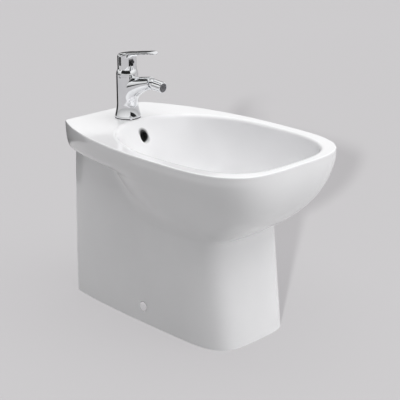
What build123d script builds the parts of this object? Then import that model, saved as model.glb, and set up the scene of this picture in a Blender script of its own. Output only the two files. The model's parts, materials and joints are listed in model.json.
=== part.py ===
"""Back-to-wall floor-standing bidet with a single-lever mixer, click waste and side fixings.

Millimetres. X is across, -Y is the front, the wall is the plane y = +BACK_Y, the floor is z = 0.
"""
from dataclasses import dataclass
from math import asin, cos, hypot, pi, radians, sin, sqrt, tan
import os

from build123d import *

# China: overall form
LENGTH = 560.0
BACK_Y = LENGTH / 2
MID_Y = -38.0
RIM_Z = 395.0
RIM_HALF_WIDTH = 183.5
RIM_FRONT_POWER = 3.8
RIM_REAR_REACH = 396.5
CORNER_RADIUS = 13.0
EDGE_RADIUS = 2.5

# China: the rim band curves in to the pedestal at this height
BAND_BOTTOM_Z = 328.0

# China: pedestal, at the floor and where the rim band meets it
FOOT_HALF_WIDTH = 110.0
FOOT_FRONT_REACH = 145.5
FOOT_FRONT_POWER = 4.0
FOOT_REAR_REACH = 448.0
NECK_HALF_WIDTH = 119.5
NECK_FRONT_REACH = 105.0
NECK_FRONT_POWER = 3.1
NECK_REAR_REACH = 391.0
FOOT_REAR_POWER = 3.0
NECK_REAR_POWER = 2.6

# China: bowl that bulges from the pedestal
BOWL_TOP_Z = 379.0
BOWL_BOTTOM_Z = 215.0
BOWL_SIDE_INSET = 83.5
BOWL_SIDE_POWER = 1.27
BOWL_FRONT_INSET = 133.5
BOWL_FRONT_POWER = 2.28
BOWL_REAR_REACH = 168.0
BOWL_REAR_SPREAD = 0.42
BOWL_LOW_POWER = 3.4
BLEND = 16.0
BLEND_FADE = 40.0
SECTION_SPREAD = 1.2

# China: basin inside the rim
RIM_WIDTH_SIDE = 26.5
RIM_WIDTH_FRONT = 21.5
BASIN_BACK_Y = 173.0
BASIN_DEPTH = 145.0
BASIN_FRONT_POWER = 3.4
BASIN_FLOOR_RADIUS = 40.0
BASIN_EDGE_RADIUS = 7.0
BASIN_DISH_POWER = 2.3
BASIN_SIDE_POWER = 0.42
BASIN_BACK_POWER = 0.85

# China: walls, holes and hollow
WALL = 11.0
DECK = 14.0
MIXER_Y = 202.0
MIXER_HOLE_RADIUS = 17.5
WASTE_Y = 20.0
WASTE_HOLE_MARGIN = 2.05
WASTE_BOSS_WIDTH = 19.0
WASTE_BOSS_DEPTH = 28.0
WASTE_RECESS = 2.5
OVERFLOW_Z = 359.0
OVERFLOW_RADIUS = 11.0
OVERFLOW_DUCT_RADIUS = 7.0
OVERFLOW_DUCT_WALL = 7.0

# Side fixings
FIX_Y = 41.0
FIX_Z = 38.0
SLEEVE_WALL = 2.7
CAP_ROOM = 3.2
CAP_RECESS = 3.0
CAP_HEIGHT = 4.6
CAP_WALL = 1.0
SLEEVE_COLLAR = 0.8
FIX_SCREW_RADIUS = 3.0
FIX_SCREW_HEAD_RADIUS = 6.0
FIX_SCREW_HEAD = 2.2
BRACKET_THICKNESS = 4.0
BRACKET_WIDTH = 40.0
BRACKET_FOOT = 46.0
BRACKET_HEIGHT = 60.0
BRACKET_GUSSET = 22.0
BRACKET_HOLE_RADIUS = 4.0
FIX_NUT_RADIUS = 5.8
FIX_NUT_HEIGHT = 5.0

# Cartridge
CARTRIDGE_RADIUS = 17.5
CARTRIDGE_SEAL = 1.5
SEAL_RING = 1.0
CARTRIDGE_BASE = 4.0
DISC_THICKNESS = 3.5
DISC_RIM = 1.5
CARRIER_HEIGHT = 6.0
CARRIER_TRAVEL = 4.2
CARRIER_ROOM = 2.5
HOUSING_WALL = 3.0
HOUSING_NECK_STEP = 1.5
HOUSING_NECK = 4.0
HOUSING_OVER_BODY = 2.5
ROTOR_ABOVE_PIVOT = 4.0
ROTOR_BELOW_PIVOT = 10.0
ROTOR_SLOT = 9.0
STEM_SIZE = 8.0
STEM_LEAN = 8.0
STEM_TOP = 33.0
STEM_HUB = 5.0
STEM_FOOT_RADIUS = 2.6
STEM_PIN_RADIUS = 1.5
POCKET_DEPTH = 4.5
POCKET_LENGTH = 7.8
POCKET_FLOOR_GAP = 1.0
NUT_WALL = 2.1
NUT_THREAD = 3.5
NUT_LIP = 3.0

# Mixer body, heights from the deck
GASKET = 1.5
BASE_FLARE = 5.0
BASE_STEP = 2.5
FLARE_HEIGHT = 30.0
COLUMN_WALL = 3.4
COLUMN_HEIGHT = 91.5
SPOUT_RISE = 10.0
SPOUT_REACH = 71.0
SPOUT_END_DROP = 6.5
SPOUT_ROOT_HEIGHT = 27.0
SPOUT_ROOT_INSET = 5.0
SPOUT_ROOT_Y = 10.0
SPOUT_SWELL = 1.6
PORT_RADIUS = 4.0
OUTLET_RADIUS = 3.5
INLET_X = 8.0
INLET_Y = -2.0
OUTLET_MARGIN = 0.5
INLET_THREAD_STEP = 0.5
INLET_THREAD_DEPTH = 14.0
STUD_RADIUS = 4.0
STUD_HOLE_MARGIN = 2.0
STUD_IN_BODY = 14.0
STUD_SPARE = 14.0
CLAMP_MARGIN = 2.5
CLAMP_THICKNESS = 2.5
CLAMP_SEAL = 3.0
CLAMP_SLOT = 14.0
STUD_NUT_RADIUS = 7.5
STUD_NUT_HEIGHT = 6.5
EYELET_ANGLE = 30.0
EYELET_RADIUS = 3.8
EYELET_BORE = 1.3
EYELET_STEM = 1.8

# Lever and its dome
DOME_RING = 1.5
DOME_WALL = 2.0
DOME_OPENING = 13.0
HANDLE_INSET = 3.0
HANDLE_ABOVE_PIVOT = 43.5
HANDLE_RISE = 9.6
HANDLE_REACH = 91.0
HANDLE_HALF_WIDTH = 15.5
HANDLE_TIP_HALF_WIDTH = 12.5
HANDLE_PLATE = 4.5
HANDLE_BACK_RADIUS = 7.0
HANDLE_DROOP = 4.5
HANDLE_DROOP_LENGTH = 20.0
HANDLE_THROAT = 6.0
GRUB_RADIUS = 2.5
GRUB_LENGTH = 7.0
GRUB_BELOW_STEM_TOP = 4.0
PLUG_RADIUS = 3.3
PLUG_DEPTH = 2.0

# Swivel nozzle, distances along the spout from its end
BALL_RADIUS = 9.5
BALL_OFFSET = 2.0
BALL_BORE = 4.0
COLLAR_LENGTH = 6.0
COLLAR_WALL = 1.7
COLLAR_SLEEVE = 4.5
COLLAR_BEVEL = 1.2
SOCKET_DEPTH = 10.0
SOCKET_WALL = 1.8
NOZZLE_DROP = 5.0
NOZZLE_RADIUS = 11.2
NOZZLE_BACK_RADIUS = 8.0
NOZZLE_BACK = 10.0
NOZZLE_SHOULDER = 13.0
NOZZLE_LENGTH = 38.0
NOZZLE_WALL = 1.7
NOZZLE_THREAD = 8.0
SHANK_RADIUS = 5.6
AERATOR_LENGTH = 12.0
AERATOR_RECESS = 0.8
AERATOR_WASHER = 1.5
AERATOR_HOLE_RADIUS = 1.05
AERATOR_RING_STEP = 3.1

# Waste, heights below the basin floor
TAIL_RADIUS = 20.95
TAIL_WALL = 2.2
TAIL_LENGTH = 70.0
OUTLET_THREAD = 20.0
THREAD_RELIEF = 1.0
THREAD_RELIEF_WIDTH = 2.0
FLANGE_WIDTH = 8.0
FLANGE_THICKNESS = 2.0
SEAT_STEP = 0.65
SLOT_TOP = 9.0
SLOT_HEIGHT = 9.0
SLOT_WIDTH = 12.0
SLOT_COUNT = 3
WASTE_SEAL = 1.0
LOWER_SEAL = 6.0
LOWER_SEAL_WIDTH = 10.0
WASTE_WASHER = 1.5
WASTE_NUT_HEIGHT = 12.0
WASTE_NUT_WIDTH = 9.0
BRIDGE_TOP = 40.0
BRIDGE_HEIGHT = 6.0
BRIDGE_ARM = 4.0
CLICK_RADIUS = 6.0
CLICK_TOP = 18.0
CLICK_LENGTH = 32.0
CLICK_STEM_RADIUS = 3.0
STOPPER_CROWN = 4.0
STOPPER_SKIRT = 4.0

# Clearances
FIT = 0.05
GAP = 0.3

# Sizes that follow from others
WASTE_HOLE_RADIUS = TAIL_RADIUS + WASTE_HOLE_MARGIN
WASTE_BOSS_RADIUS = WASTE_HOLE_RADIUS + WASTE_BOSS_WIDTH
FLANGE_RADIUS = WASTE_HOLE_RADIUS + FLANGE_WIDTH
LOWER_SEAL_RADIUS = WASTE_HOLE_RADIUS + LOWER_SEAL_WIDTH
WASTE_NUT_RADIUS = TAIL_RADIUS + WASTE_NUT_WIDTH
TAIL_BORE = TAIL_RADIUS - TAIL_WALL
STOPPER_RADIUS = TAIL_BORE - GAP
FIX_HOLE_RADIUS = FIX_SCREW_RADIUS + SLEEVE_WALL + GAP
CAP_RADIUS = FIX_SCREW_HEAD_RADIUS + CAP_WALL + CAP_ROOM
STUD_Y = MIXER_HOLE_RADIUS - STUD_RADIUS - STUD_HOLE_MARGIN
CLAMP_RADIUS = MIXER_HOLE_RADIUS + CLAMP_MARGIN
CAVITY_RADIUS = CARTRIDGE_RADIUS + GAP
NUT_RADIUS = CARTRIDGE_RADIUS + NUT_WALL
COLUMN_RADIUS = NUT_RADIUS + COLUMN_WALL
BASE_RADIUS = COLUMN_RADIUS + BASE_FLARE
SPOUT_ROOT_WIDTH = COLUMN_RADIUS - SPOUT_ROOT_INSET
SPOUT_END_HEIGHT = COLUMN_HEIGHT - SPOUT_END_DROP
SOCKET_RADIUS = BALL_RADIUS + GAP + COLLAR_WALL
SPOUT_END_RADIUS = SOCKET_RADIUS + SOCKET_WALL
PIVOT_HEIGHT = COLUMN_HEIGHT + DOME_RING
NUT_BOTTOM = COLUMN_HEIGHT - NUT_THREAD
HOUSING_SHOULDER = COLUMN_HEIGHT + HOUSING_OVER_BODY
HOUSING_NECK_RADIUS = CARTRIDGE_RADIUS - HOUSING_NECK_STEP
HOUSING_BORE = CARTRIDGE_RADIUS - HOUSING_WALL
ROTOR_BOTTOM = PIVOT_HEIGHT - ROTOR_BELOW_PIVOT
CARRIER_TOP = ROTOR_BOTTOM - CARRIER_ROOM
CARRIER_BOTTOM = CARRIER_TOP - CARRIER_HEIGHT
DISC_TOP = CARRIER_BOTTOM - DISC_THICKNESS
DISC_BOTTOM = DISC_TOP - DISC_THICKNESS
CARTRIDGE_BOTTOM = DISC_BOTTOM - CARTRIDGE_BASE
CAVITY_FLOOR = CARTRIDGE_BOTTOM - CARTRIDGE_SEAL
LOWER_DISC_RADIUS = HOUSING_BORE - DISC_RIM
OUTLET_Y = OUTLET_RADIUS + OUTLET_MARGIN - LOWER_DISC_RADIUS
CARRIER_RADIUS = HOUSING_BORE - CARRIER_TRAVEL
STEM_FOOT_DROP = PIVOT_HEIGHT - CARRIER_TOP + POCKET_DEPTH - POCKET_FLOOR_GAP
HANDLE_RADIUS = COLUMN_RADIUS - HANDLE_INSET
HANDLE_TOP_BACK = PIVOT_HEIGHT + HANDLE_ABOVE_PIVOT
GRUB_HEIGHT = PIVOT_HEIGHT + STEM_TOP - GRUB_BELOW_STEM_TOP

LOW = (Align.CENTER, Align.CENTER, Align.MIN)


def bar(radius, bottom, top, x=0.0, y=0.0):
    """Upright cylinder between two heights."""
    return Pos(x, y, bottom) * Cylinder(radius, top - bottom, align=LOW)


def tube(outer, inner, bottom, top, x=0.0, y=0.0):
    """Upright ring between two heights."""
    return bar(outer, bottom, top, x, y) - bar(inner, bottom, top, x, y)


def hexagon(radius, bottom, top, x=0.0, y=0.0):
    """Upright hexagonal prism, radius to its corners."""
    return Pos(x, y, bottom) * extrude(RegularPolygon(radius, 6), top - bottom)


def turned(*points):
    """Solid turned about Z from (radius, height) corners."""
    outline = Polyline(*[(radius, 0, height) for radius, height in points], close=True)
    return revolve(make_face(outline), Axis.Z)


def domed(radius, edge, crown):
    """Disc with a straight side up to one height and a crown up to another."""
    rounding = (radius ** 2 + (crown - edge) ** 2) / (2 * (crown - edge))
    return bar(radius, 0, crown) & Pos(0, 0, crown - rounding) * Sphere(rounding)


def block(x0, x1, y0, y1, z0, z1):
    """Box between two corners."""
    return Pos((x0 + x1) / 2, (y0 + y1) / 2, (z0 + z1) / 2) * Box(x1 - x0, y1 - y0, z1 - z0)


# Plan outlines of the china


@dataclass
class Outline:
    """Plan outline: a superellipse about (0, MID_Y), one reach and power each way along Y."""
    half: float
    front: float
    front_power: float
    rear: float
    rear_power: float
    mid: float = MID_Y

    def radius(self, angle):
        """Distance from the middle; angle 0 looks to the front and 180 degrees to the wall."""
        reach = self.front if cos(angle) > 0 else self.rear
        power = self.front_power if cos(angle) > 0 else self.rear_power
        total = (abs(sin(angle)) / self.half) ** power + (abs(cos(angle)) / reach) ** power
        return total ** (-1 / power)

    def toward(self, other, share):
        """Outline part of the way to another one."""
        mine = (self.half, self.front, self.front_power, self.rear, self.rear_power, self.mid)
        theirs = (other.half, other.front, other.front_power, other.rear, other.rear_power, other.mid)
        return Outline(*[a + (b - a) * share for a, b in zip(mine, theirs)])

    def grown(self, amount):
        """Outline moved outward by an amount."""
        return Outline(self.half + amount, self.front + amount, self.front_power,
                       self.rear + amount, self.rear_power, self.mid)


RIM = Outline(RIM_HALF_WIDTH, BACK_Y + MID_Y, RIM_FRONT_POWER, RIM_REAR_REACH, 2.0)
FOOT = Outline(FOOT_HALF_WIDTH, FOOT_FRONT_REACH, FOOT_FRONT_POWER, FOOT_REAR_REACH, FOOT_REAR_POWER)
NECK = Outline(NECK_HALF_WIDTH, NECK_FRONT_REACH, NECK_FRONT_POWER, NECK_REAR_REACH, NECK_REAR_POWER)


def pedestal(z):
    """Pedestal outline: straight sides from the foot to the neck."""
    return FOOT.toward(NECK, z / BAND_BOTTOM_Z)


def band(z):
    """Rim band outline: a quarter ellipse from the rim down and in to the neck."""
    drop = (RIM_Z - z) / (RIM_Z - BAND_BOTTOM_Z)
    return RIM.toward(NECK, 1 - sqrt(max(0.0, 1 - drop * drop)))


def bowl(z):
    """Bowl outline: each side draws in by a power of the depth below the bowl's top."""
    depth = max(0.0, BOWL_TOP_Z - z) / (BOWL_TOP_Z - BOWL_BOTTOM_Z)
    return Outline(RIM.half - BOWL_SIDE_INSET * depth ** BOWL_SIDE_POWER,
                   RIM.front - BOWL_FRONT_INSET * depth ** BOWL_FRONT_POWER,
                   RIM.front_power + (BOWL_LOW_POWER - RIM.front_power) * depth,
                   BOWL_REAR_REACH + BOWL_REAR_SPREAD * (z - BOWL_BOTTOM_Z), 2.0)


def outer_radius(z, angle):
    """Outside of the china: the larger of two forms, rounded where they are about as large."""
    first = (band(z) if z >= BAND_BOTTOM_Z else pedestal(z)).radius(angle)
    if z < BOWL_BOTTOM_Z:
        return first
    second = bowl(z).radius(angle)
    width = min(BLEND, BLEND * (BOWL_TOP_Z - z) / BLEND_FADE, z - BOWL_BOTTOM_Z + GAP)
    if width <= 0:
        return max(first, second)
    near = max(0.0, 1 - abs(first - second) / width)
    return max(first, second) + near * near * width / 4


def backed_face(z):
    """Face at height z with rounded rear corners and a flat back, left a little proud of the wall plane."""
    def point(angle):
        radius = outer_radius(z, angle)
        return radius * sin(angle), MID_Y - radius * cos(angle)

    def angle_at(y):
        low, high = pi / 2, pi
        for _ in range(40):
            middle = (low + high) / 2
            low, high = (middle, high) if point(middle)[1] < y else (low, middle)
        return low

    back_y = BACK_Y + FIT
    corner_x = point(angle_at(back_y))[0]
    lean = (point(angle_at(back_y - CORNER_RADIUS))[0] - corner_x) / CORNER_RADIUS
    turn = (pi / 2 + asin(lean / hypot(1, lean))) / 2
    run = CORNER_RADIUS / tan(turn)
    last = angle_at(back_y - run / hypot(1, lean))
    steps = 30
    side = [point(last * (1 - 2 * i / steps)) for i in range(steps + 1)]
    right, left = (corner_x - run, back_y), (run - corner_x, back_y)
    edges = [Line(left, right), TangentArc(right, side[0], tangent=(1, 0)), Spline(*side),
             TangentArc(left, side[-1], tangent=(-1, 0))]
    return Pos(0, 0, z) * make_face(edges)


def oval_face(z, outline):
    """Face at height z inside one closed outline."""
    steps = 32
    angles = [2 * pi * i / steps for i in range(steps)]
    points = [(outline.radius(a) * sin(a), outline.mid - outline.radius(a) * cos(a)) for a in angles]
    return Pos(0, 0, z) * make_face(Spline(*points, periodic=True))


def stack(heights, face_at):
    """Smooth solid through the faces at the given heights."""
    return loft([face_at(z) for z in heights])


def china_outside():
    """Foot, bowl bulge and rim band, which meet on shared flat sections."""
    steps = 10
    foot = stack([0, BOWL_BOTTOM_Z], backed_face)
    rise = BAND_BOTTOM_Z - BOWL_BOTTOM_Z
    shares = [(i / steps) ** SECTION_SPREAD for i in range(steps + 1)]
    bulge = stack([BOWL_BOTTOM_Z + rise * share for share in shares], backed_face)
    drop = RIM_Z - BAND_BOTTOM_Z
    steps = 6
    top = stack([RIM_Z - drop * cos(pi / 2 * i / steps) for i in range(steps + 1)], backed_face)
    return foot + bulge + top


def basin(z, grow=0.0):
    """Basin outline: steep sides and front, and a rear wall that slopes to the waste."""
    depth = min(1.0, max(0.0, (RIM_Z - z) / BASIN_DEPTH))
    side = RIM_HALF_WIDTH - RIM_WIDTH_SIDE
    top_front = MID_Y - RIM.front + RIM_WIDTH_FRONT
    across = (1 - depth ** BASIN_DISH_POWER) ** BASIN_SIDE_POWER
    back = (1 - depth) ** BASIN_BACK_POWER
    half = BASIN_FLOOR_RADIUS + (side - BASIN_FLOOR_RADIUS) * across
    front_y = WASTE_Y - BASIN_FLOOR_RADIUS + (top_front - WASTE_Y + BASIN_FLOOR_RADIUS) * across
    back_y = WASTE_Y + BASIN_FLOOR_RADIUS + (BASIN_BACK_Y - WASTE_Y - BASIN_FLOOR_RADIUS) * back
    mid = WASTE_Y + (MID_Y - WASTE_Y) * across
    power = 2 + (BASIN_FRONT_POWER - 2) * across
    return Outline(half, mid - front_y, power, back_y - mid, 2.0, mid).grown(grow)


def basin_space():
    """The room inside the rim, cut from above the rim down to the flat round the waste."""
    floor_z = RIM_Z - BASIN_DEPTH
    steps = 9
    heights = [RIM_Z - BASIN_DEPTH * sin(pi / 2 * i / steps) for i in range(steps + 1)]
    space = stack(heights, lambda z: oval_face(z, basin(z)))
    recess = bar(FLANGE_RADIUS + GAP, floor_z - WASTE_RECESS, floor_z + GAP, 0, WASTE_Y)
    return space, recess


def basin_shell():
    """Basin walls seen from below: the basin outline grown by one wall and set one wall lower."""
    steps = 9
    top = RIM_Z - DECK
    reach = BASIN_DEPTH - DECK + WALL
    heights = [top - reach * sin(pi / 2 * i / steps) for i in range(steps + 1)]
    return stack(heights, lambda z: oval_face(z, basin(z + WALL, WALL)))


def duct_line():
    """Ends of the overflow duct in the plane x = 0: behind the hole, and beside the waste."""
    back_y = basin(OVERFLOW_Z).mid + basin(OVERFLOW_Z).rear
    offset = WALL + OVERFLOW_DUCT_RADIUS
    start = (back_y + offset, OVERFLOW_Z)
    end = (WASTE_Y + WASTE_HOLE_RADIUS, RIM_Z - BASIN_DEPTH - SLOT_TOP - SLOT_HEIGHT / 2)
    return start, end


def duct(radius, extra=0.0):
    """Round bar along the overflow duct."""
    (y0, z0), (y1, z1) = duct_line()
    length = hypot(y1 - y0, z1 - z0)
    along = Plane(origin=(0, y0, z0), x_dir=(1, 0, 0), z_dir=(0, y1 - y0, z1 - z0))
    return along * (Pos(0, 0, -extra) * Cylinder(radius, length + extra, align=LOW))


def inside_face(z):
    """Face at height z one wall inside the pedestal, open past the wall plane."""
    outline = pedestal(min(z, BAND_BOTTOM_Z)).grown(-WALL)
    steps = 24
    angles = [pi * (1 - 2 * i / steps) for i in range(steps + 1)]
    points = [(outline.radius(a) * sin(a), MID_Y - outline.radius(a) * cos(a)) for a in angles]
    keep = [point for point in points if point[1] < BACK_Y - WALL]
    corner_y = BACK_Y + WALL
    share = 1 - ((corner_y - MID_Y) / outline.rear) ** outline.rear_power
    corner_x = outline.half * share ** (1 / outline.rear_power)
    keep = [(corner_x, corner_y), *keep, (-corner_x, corner_y)]
    return Pos(0, 0, z) * make_face([Line(keep[-1], keep[0]), Spline(*keep)])


def hollow():
    """Room inside the pedestal up to the deck, open to the floor and the wall."""
    lower = loft([inside_face(-WALL), inside_face(BAND_BOTTOM_Z)], ruled=True)
    return lower + extrude(inside_face(BAND_BOTTOM_Z), RIM_Z - DECK - BAND_BOTTOM_Z)


def pedestal_side(z, y):
    """Distance from the middle plane to the pedestal's outside, behind its middle."""
    outline = pedestal(z)
    share = 1 - ((y - MID_Y) / outline.rear) ** outline.rear_power
    return outline.half * share ** (1 / outline.rear_power)


def bracket_face():
    """Distance from the middle plane to the outer faces of the brackets, clear of the china at the floor."""
    return pedestal_side(0, FIX_Y + BRACKET_WIDTH / 2) - WALL - GAP


def sideways(radius, start, end, side, y=FIX_Y, z=FIX_Z):
    """Cylinder along X between two distances from the middle, on one side."""
    along = Plane(origin=(side * start, y, z), x_dir=(0, 1, 0), z_dir=(side, 0, 0))
    return along * Cylinder(radius, end - start, align=LOW)


def ceramic_pan():
    """One piece of glazed china."""
    floor_z = RIM_Z - BASIN_DEPTH
    space, recess = basin_space()
    outside = china_outside()
    rim_edge = outside.edges().filter_by_position(Axis.Z, RIM_Z - FIT, RIM_Z + FIT)
    outside = fillet(rim_edge.filter_by(lambda edge: edge.center().Y < BACK_Y - CORNER_RADIUS), EDGE_RADIUS)
    open_basin = outside - space
    inner_edge = [edge for edge in open_basin.edges().filter_by_position(Axis.Z, RIM_Z - FIT, RIM_Z + FIT)
                  if edge.bounding_box().size.X < 2 * (RIM_HALF_WIDTH - RIM_WIDTH_SIDE) + GAP]
    open_basin = fillet(inner_edge, BASIN_EDGE_RADIUS)
    boss = bar(WASTE_BOSS_RADIUS, floor_z - WASTE_BOSS_DEPTH, floor_z, 0, WASTE_Y)
    hanging = basin_shell() + boss + duct(OVERFLOW_DUCT_RADIUS + OVERFLOW_DUCT_WALL, WALL)
    room = hollow() - hanging
    holes = [recess, bar(WASTE_HOLE_RADIUS, floor_z - WASTE_BOSS_DEPTH - WALL, floor_z, 0, WASTE_Y),
             bar(MIXER_HOLE_RADIUS, RIM_Z - DECK - WALL, RIM_Z + WALL, 0, MIXER_Y),
             duct(OVERFLOW_DUCT_RADIUS)]
    start = duct_line()[0]
    across = Plane(origin=(0, start[0], OVERFLOW_Z), x_dir=(1, 0, 0), z_dir=(0, -1, 0))
    holes.append(across * Cylinder(OVERFLOW_RADIUS, 3 * WALL, align=LOW))
    outer = pedestal_side(FIX_Z, FIX_Y)
    for side in (-1, 1):
        holes.append(sideways(FIX_HOLE_RADIUS, outer - 2 * WALL, outer + WALL, side))
        holes.append(sideways(CAP_RADIUS + GAP, outer - CAP_RECESS, outer + WALL, side))
    china = open_basin - room
    for hole in holes:
        china = china - hole
    return china


def quarters(china, name, low, high):
    """One level of the china in four parts that meet at the waste, with the rear cut flat on the wall plane."""
    pieces = {}
    for end, along in {"front": (-LENGTH, WASTE_Y), "rear": (WASTE_Y, BACK_Y)}.items():
        right = china & block(0, LENGTH, *along, low, high)
        pieces[f"{name}_{end}_right"] = right
        pieces[f"{name}_{end}_left"] = mirror(right, about=Plane.YZ)
    return pieces


def china_pieces():
    """The china at its two seams: the foot, the bowl that bulges from it, and the rim band with the deck."""
    china = ceramic_pan()
    foot = china & block(-LENGTH, LENGTH, -LENGTH, BACK_Y, 0, BOWL_BOTTOM_Z)
    return {"pan_foot": foot, **quarters(china, "pan_bowl", BOWL_BOTTOM_Z, BAND_BOTTOM_Z),
            **quarters(china, "pan_rim", BAND_BOTTOM_Z, RIM_Z + WALL)}


# Side fixings


def both_sides(make):
    """The same piece on the left and on the right."""
    return Compound(children=[make(-1), make(1)])


def floor_bracket(side):
    """Angle bracket that is screwed to the floor inside the foot of the china."""
    face_x = bracket_face()
    y0, y1 = FIX_Y - BRACKET_WIDTH / 2, FIX_Y + BRACKET_WIDTH / 2
    low, high = sorted((side * (face_x - BRACKET_FOOT), side * face_x))
    plate = block(low, high, y0, y1, 0, BRACKET_THICKNESS)
    low, high = sorted((side * (face_x - BRACKET_THICKNESS), side * face_x))
    leg = block(low, high, y0, y1, 0, BRACKET_HEIGHT)
    inner_x = face_x - BRACKET_THICKNESS
    gusset_face = make_face(Polyline((side * inner_x, 0, BRACKET_THICKNESS),
                                     (side * (inner_x - BRACKET_GUSSET), 0, BRACKET_THICKNESS),
                                     (side * inner_x, 0, BRACKET_THICKNESS + BRACKET_GUSSET), close=True))
    gusset = extrude(gusset_face, BRACKET_THICKNESS / 2, both=True)
    ribs = Pos(0, y0 + BRACKET_THICKNESS / 2, 0) * gusset + Pos(0, y1 - BRACKET_THICKNESS / 2, 0) * gusset
    hole = bar(BRACKET_HOLE_RADIUS, -GAP, BRACKET_THICKNESS + GAP, side * bracket_hole_x(), FIX_Y)
    return plate + leg + ribs - hole - sideways(FIX_SCREW_RADIUS + FIT, inner_x - WALL, face_x + WALL, side)


def bracket_hole_x():
    """Distance of a floor screw from the middle plane."""
    return bracket_face() - BRACKET_FOOT / 2 - BRACKET_THICKNESS


def fixing_nut(side):
    """Hexagonal nut behind the leg of a bracket."""
    face_x = bracket_face() - BRACKET_THICKNESS
    along = Plane(origin=(side * face_x, FIX_Y, FIX_Z), x_dir=(0, 1, 0), z_dir=(-side, 0, 0))
    nut = along * extrude(RegularPolygon(FIX_NUT_RADIUS, 6), FIX_NUT_HEIGHT)
    return nut - sideways(FIX_SCREW_RADIUS + FIT, face_x - WALL, face_x + WALL, side)


def fixing_seat():
    """Distance from the middle plane to the bottom of the recess round a fixing hole."""
    return pedestal_side(FIX_Z, FIX_Y) - CAP_RECESS


def fixing_sleeve(side):
    """Nylon sleeve with a collar that takes the screw through the china."""
    seat = fixing_seat()
    collar = sideways(CAP_RADIUS - 2 * CAP_WALL, seat, seat + SLEEVE_COLLAR, side)
    sleeve = sideways(FIX_HOLE_RADIUS - GAP, seat - WALL / 2, seat, side)
    return collar + sleeve - sideways(FIX_SCREW_RADIUS + FIT, seat - 2 * WALL, seat + WALL, side)


def fixing_screw(side):
    """Side screw, with its head on the collar of the sleeve and its end through the nut."""
    head_x = fixing_seat() + SLEEVE_COLLAR
    end_x = bracket_face() - BRACKET_THICKNESS - FIX_NUT_HEIGHT - FIX_SCREW_RADIUS
    shank = sideways(FIX_SCREW_RADIUS, end_x, head_x, side)
    head = sideways(FIX_SCREW_HEAD_RADIUS, head_x, head_x + FIX_SCREW_HEAD, side)
    drive = Plane(origin=(side * (head_x + FIX_SCREW_HEAD), FIX_Y, FIX_Z), x_dir=(0, 1, 0),
                  z_dir=(-side, 0, 0)) * extrude(RegularPolygon(FIX_SCREW_RADIUS, 6), FIX_SCREW_HEAD / 2)
    return shank + head - drive


def screw_cap(side):
    """Domed cap that hides a side screw in its recess."""
    along = Plane(origin=(side * fixing_seat(), FIX_Y, FIX_Z), x_dir=(0, 1, 0), z_dir=(side, 0, 0))
    room = bar(CAP_RADIUS - CAP_WALL, -GAP, SLEEVE_COLLAR + FIX_SCREW_HEAD + GAP)
    return along * (domed(CAP_RADIUS, CAP_RECESS, CAP_HEIGHT) - room)


# Mixer


def at_mixer(shape):
    """Moves a piece from the mixer's own place to the deck."""
    return Pos(0, MIXER_Y, RIM_Z) * shape


def across_spout(distance):
    """Plane across the spout, at a distance beyond its end."""
    run, climb = cos(radians(SPOUT_RISE)), sin(radians(SPOUT_RISE))
    origin = (0, -SPOUT_REACH - distance * run, SPOUT_END_HEIGHT + distance * climb)
    return Plane(origin=origin, x_dir=(1, 0, 0), z_dir=(0, -run, climb))


def column():
    """Turned column with a flared base."""
    foot = GASKET + BASE_STEP
    flare = ((BASE_RADIUS, 0, foot), (COLUMN_RADIUS, 0, FLARE_HEIGHT))
    edges = [Line((0, 0, GASKET), (BASE_RADIUS, 0, GASKET)),
             Line((BASE_RADIUS, 0, GASKET), (BASE_RADIUS, 0, foot)),
             Spline(*flare, tangents=((-1, 0, 1), (0, 0, 1))),
             Line((COLUMN_RADIUS, 0, FLARE_HEIGHT), (COLUMN_RADIUS, 0, COLUMN_HEIGHT)),
             Line((COLUMN_RADIUS, 0, COLUMN_HEIGHT), (0, 0, COLUMN_HEIGHT)),
             Line((0, 0, COLUMN_HEIGHT), (0, 0, GASKET))]
    return revolve(make_face(edges), Axis.Z)


def spout():
    """Arm that swells from its round end to its root in the column, straight along its top."""
    run, climb = cos(radians(SPOUT_RISE)), sin(radians(SPOUT_RISE))
    steps = 4
    faces = []
    for i in range(steps + 1):
        share = i / steps
        half_height = SPOUT_END_RADIUS + (SPOUT_ROOT_HEIGHT - SPOUT_END_RADIUS) * share ** SPOUT_SWELL
        half_width = SPOUT_END_RADIUS + (SPOUT_ROOT_WIDTH - SPOUT_END_RADIUS) * share
        back = (SPOUT_REACH - SPOUT_ROOT_Y) * share
        height = SPOUT_END_HEIGHT - back * climb / run - (half_height - SPOUT_END_RADIUS)
        place = Plane(origin=(0, back - SPOUT_REACH, height), x_dir=(1, 0, 0), z_dir=(0, -run, climb))
        faces.append(place * Ellipse(half_width, half_height))
    return loft(faces)


def slanted(radius, start, end):
    """Cylinder between two points of the plane x = 0, given as (y, height)."""
    along = Plane(origin=(0, *start), x_dir=(1, 0, 0), z_dir=(0, end[0] - start[0], end[1] - start[1]))
    return along * Cylinder(radius, hypot(end[0] - start[0], end[1] - start[1]), align=LOW)


def eyelet_frame():
    """Place of the chain eyelet on the side of the base."""
    angle = radians(EYELET_ANGLE)
    out = Vector(-sin(angle), -cos(angle), 0)
    height = Vector(0, 0, GASKET + BASE_STEP + EYELET_STEM / 2)
    return Plane(origin=out * (BASE_RADIUS - GAP) + height, x_dir=(0, 0, 1), z_dir=out)


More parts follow.
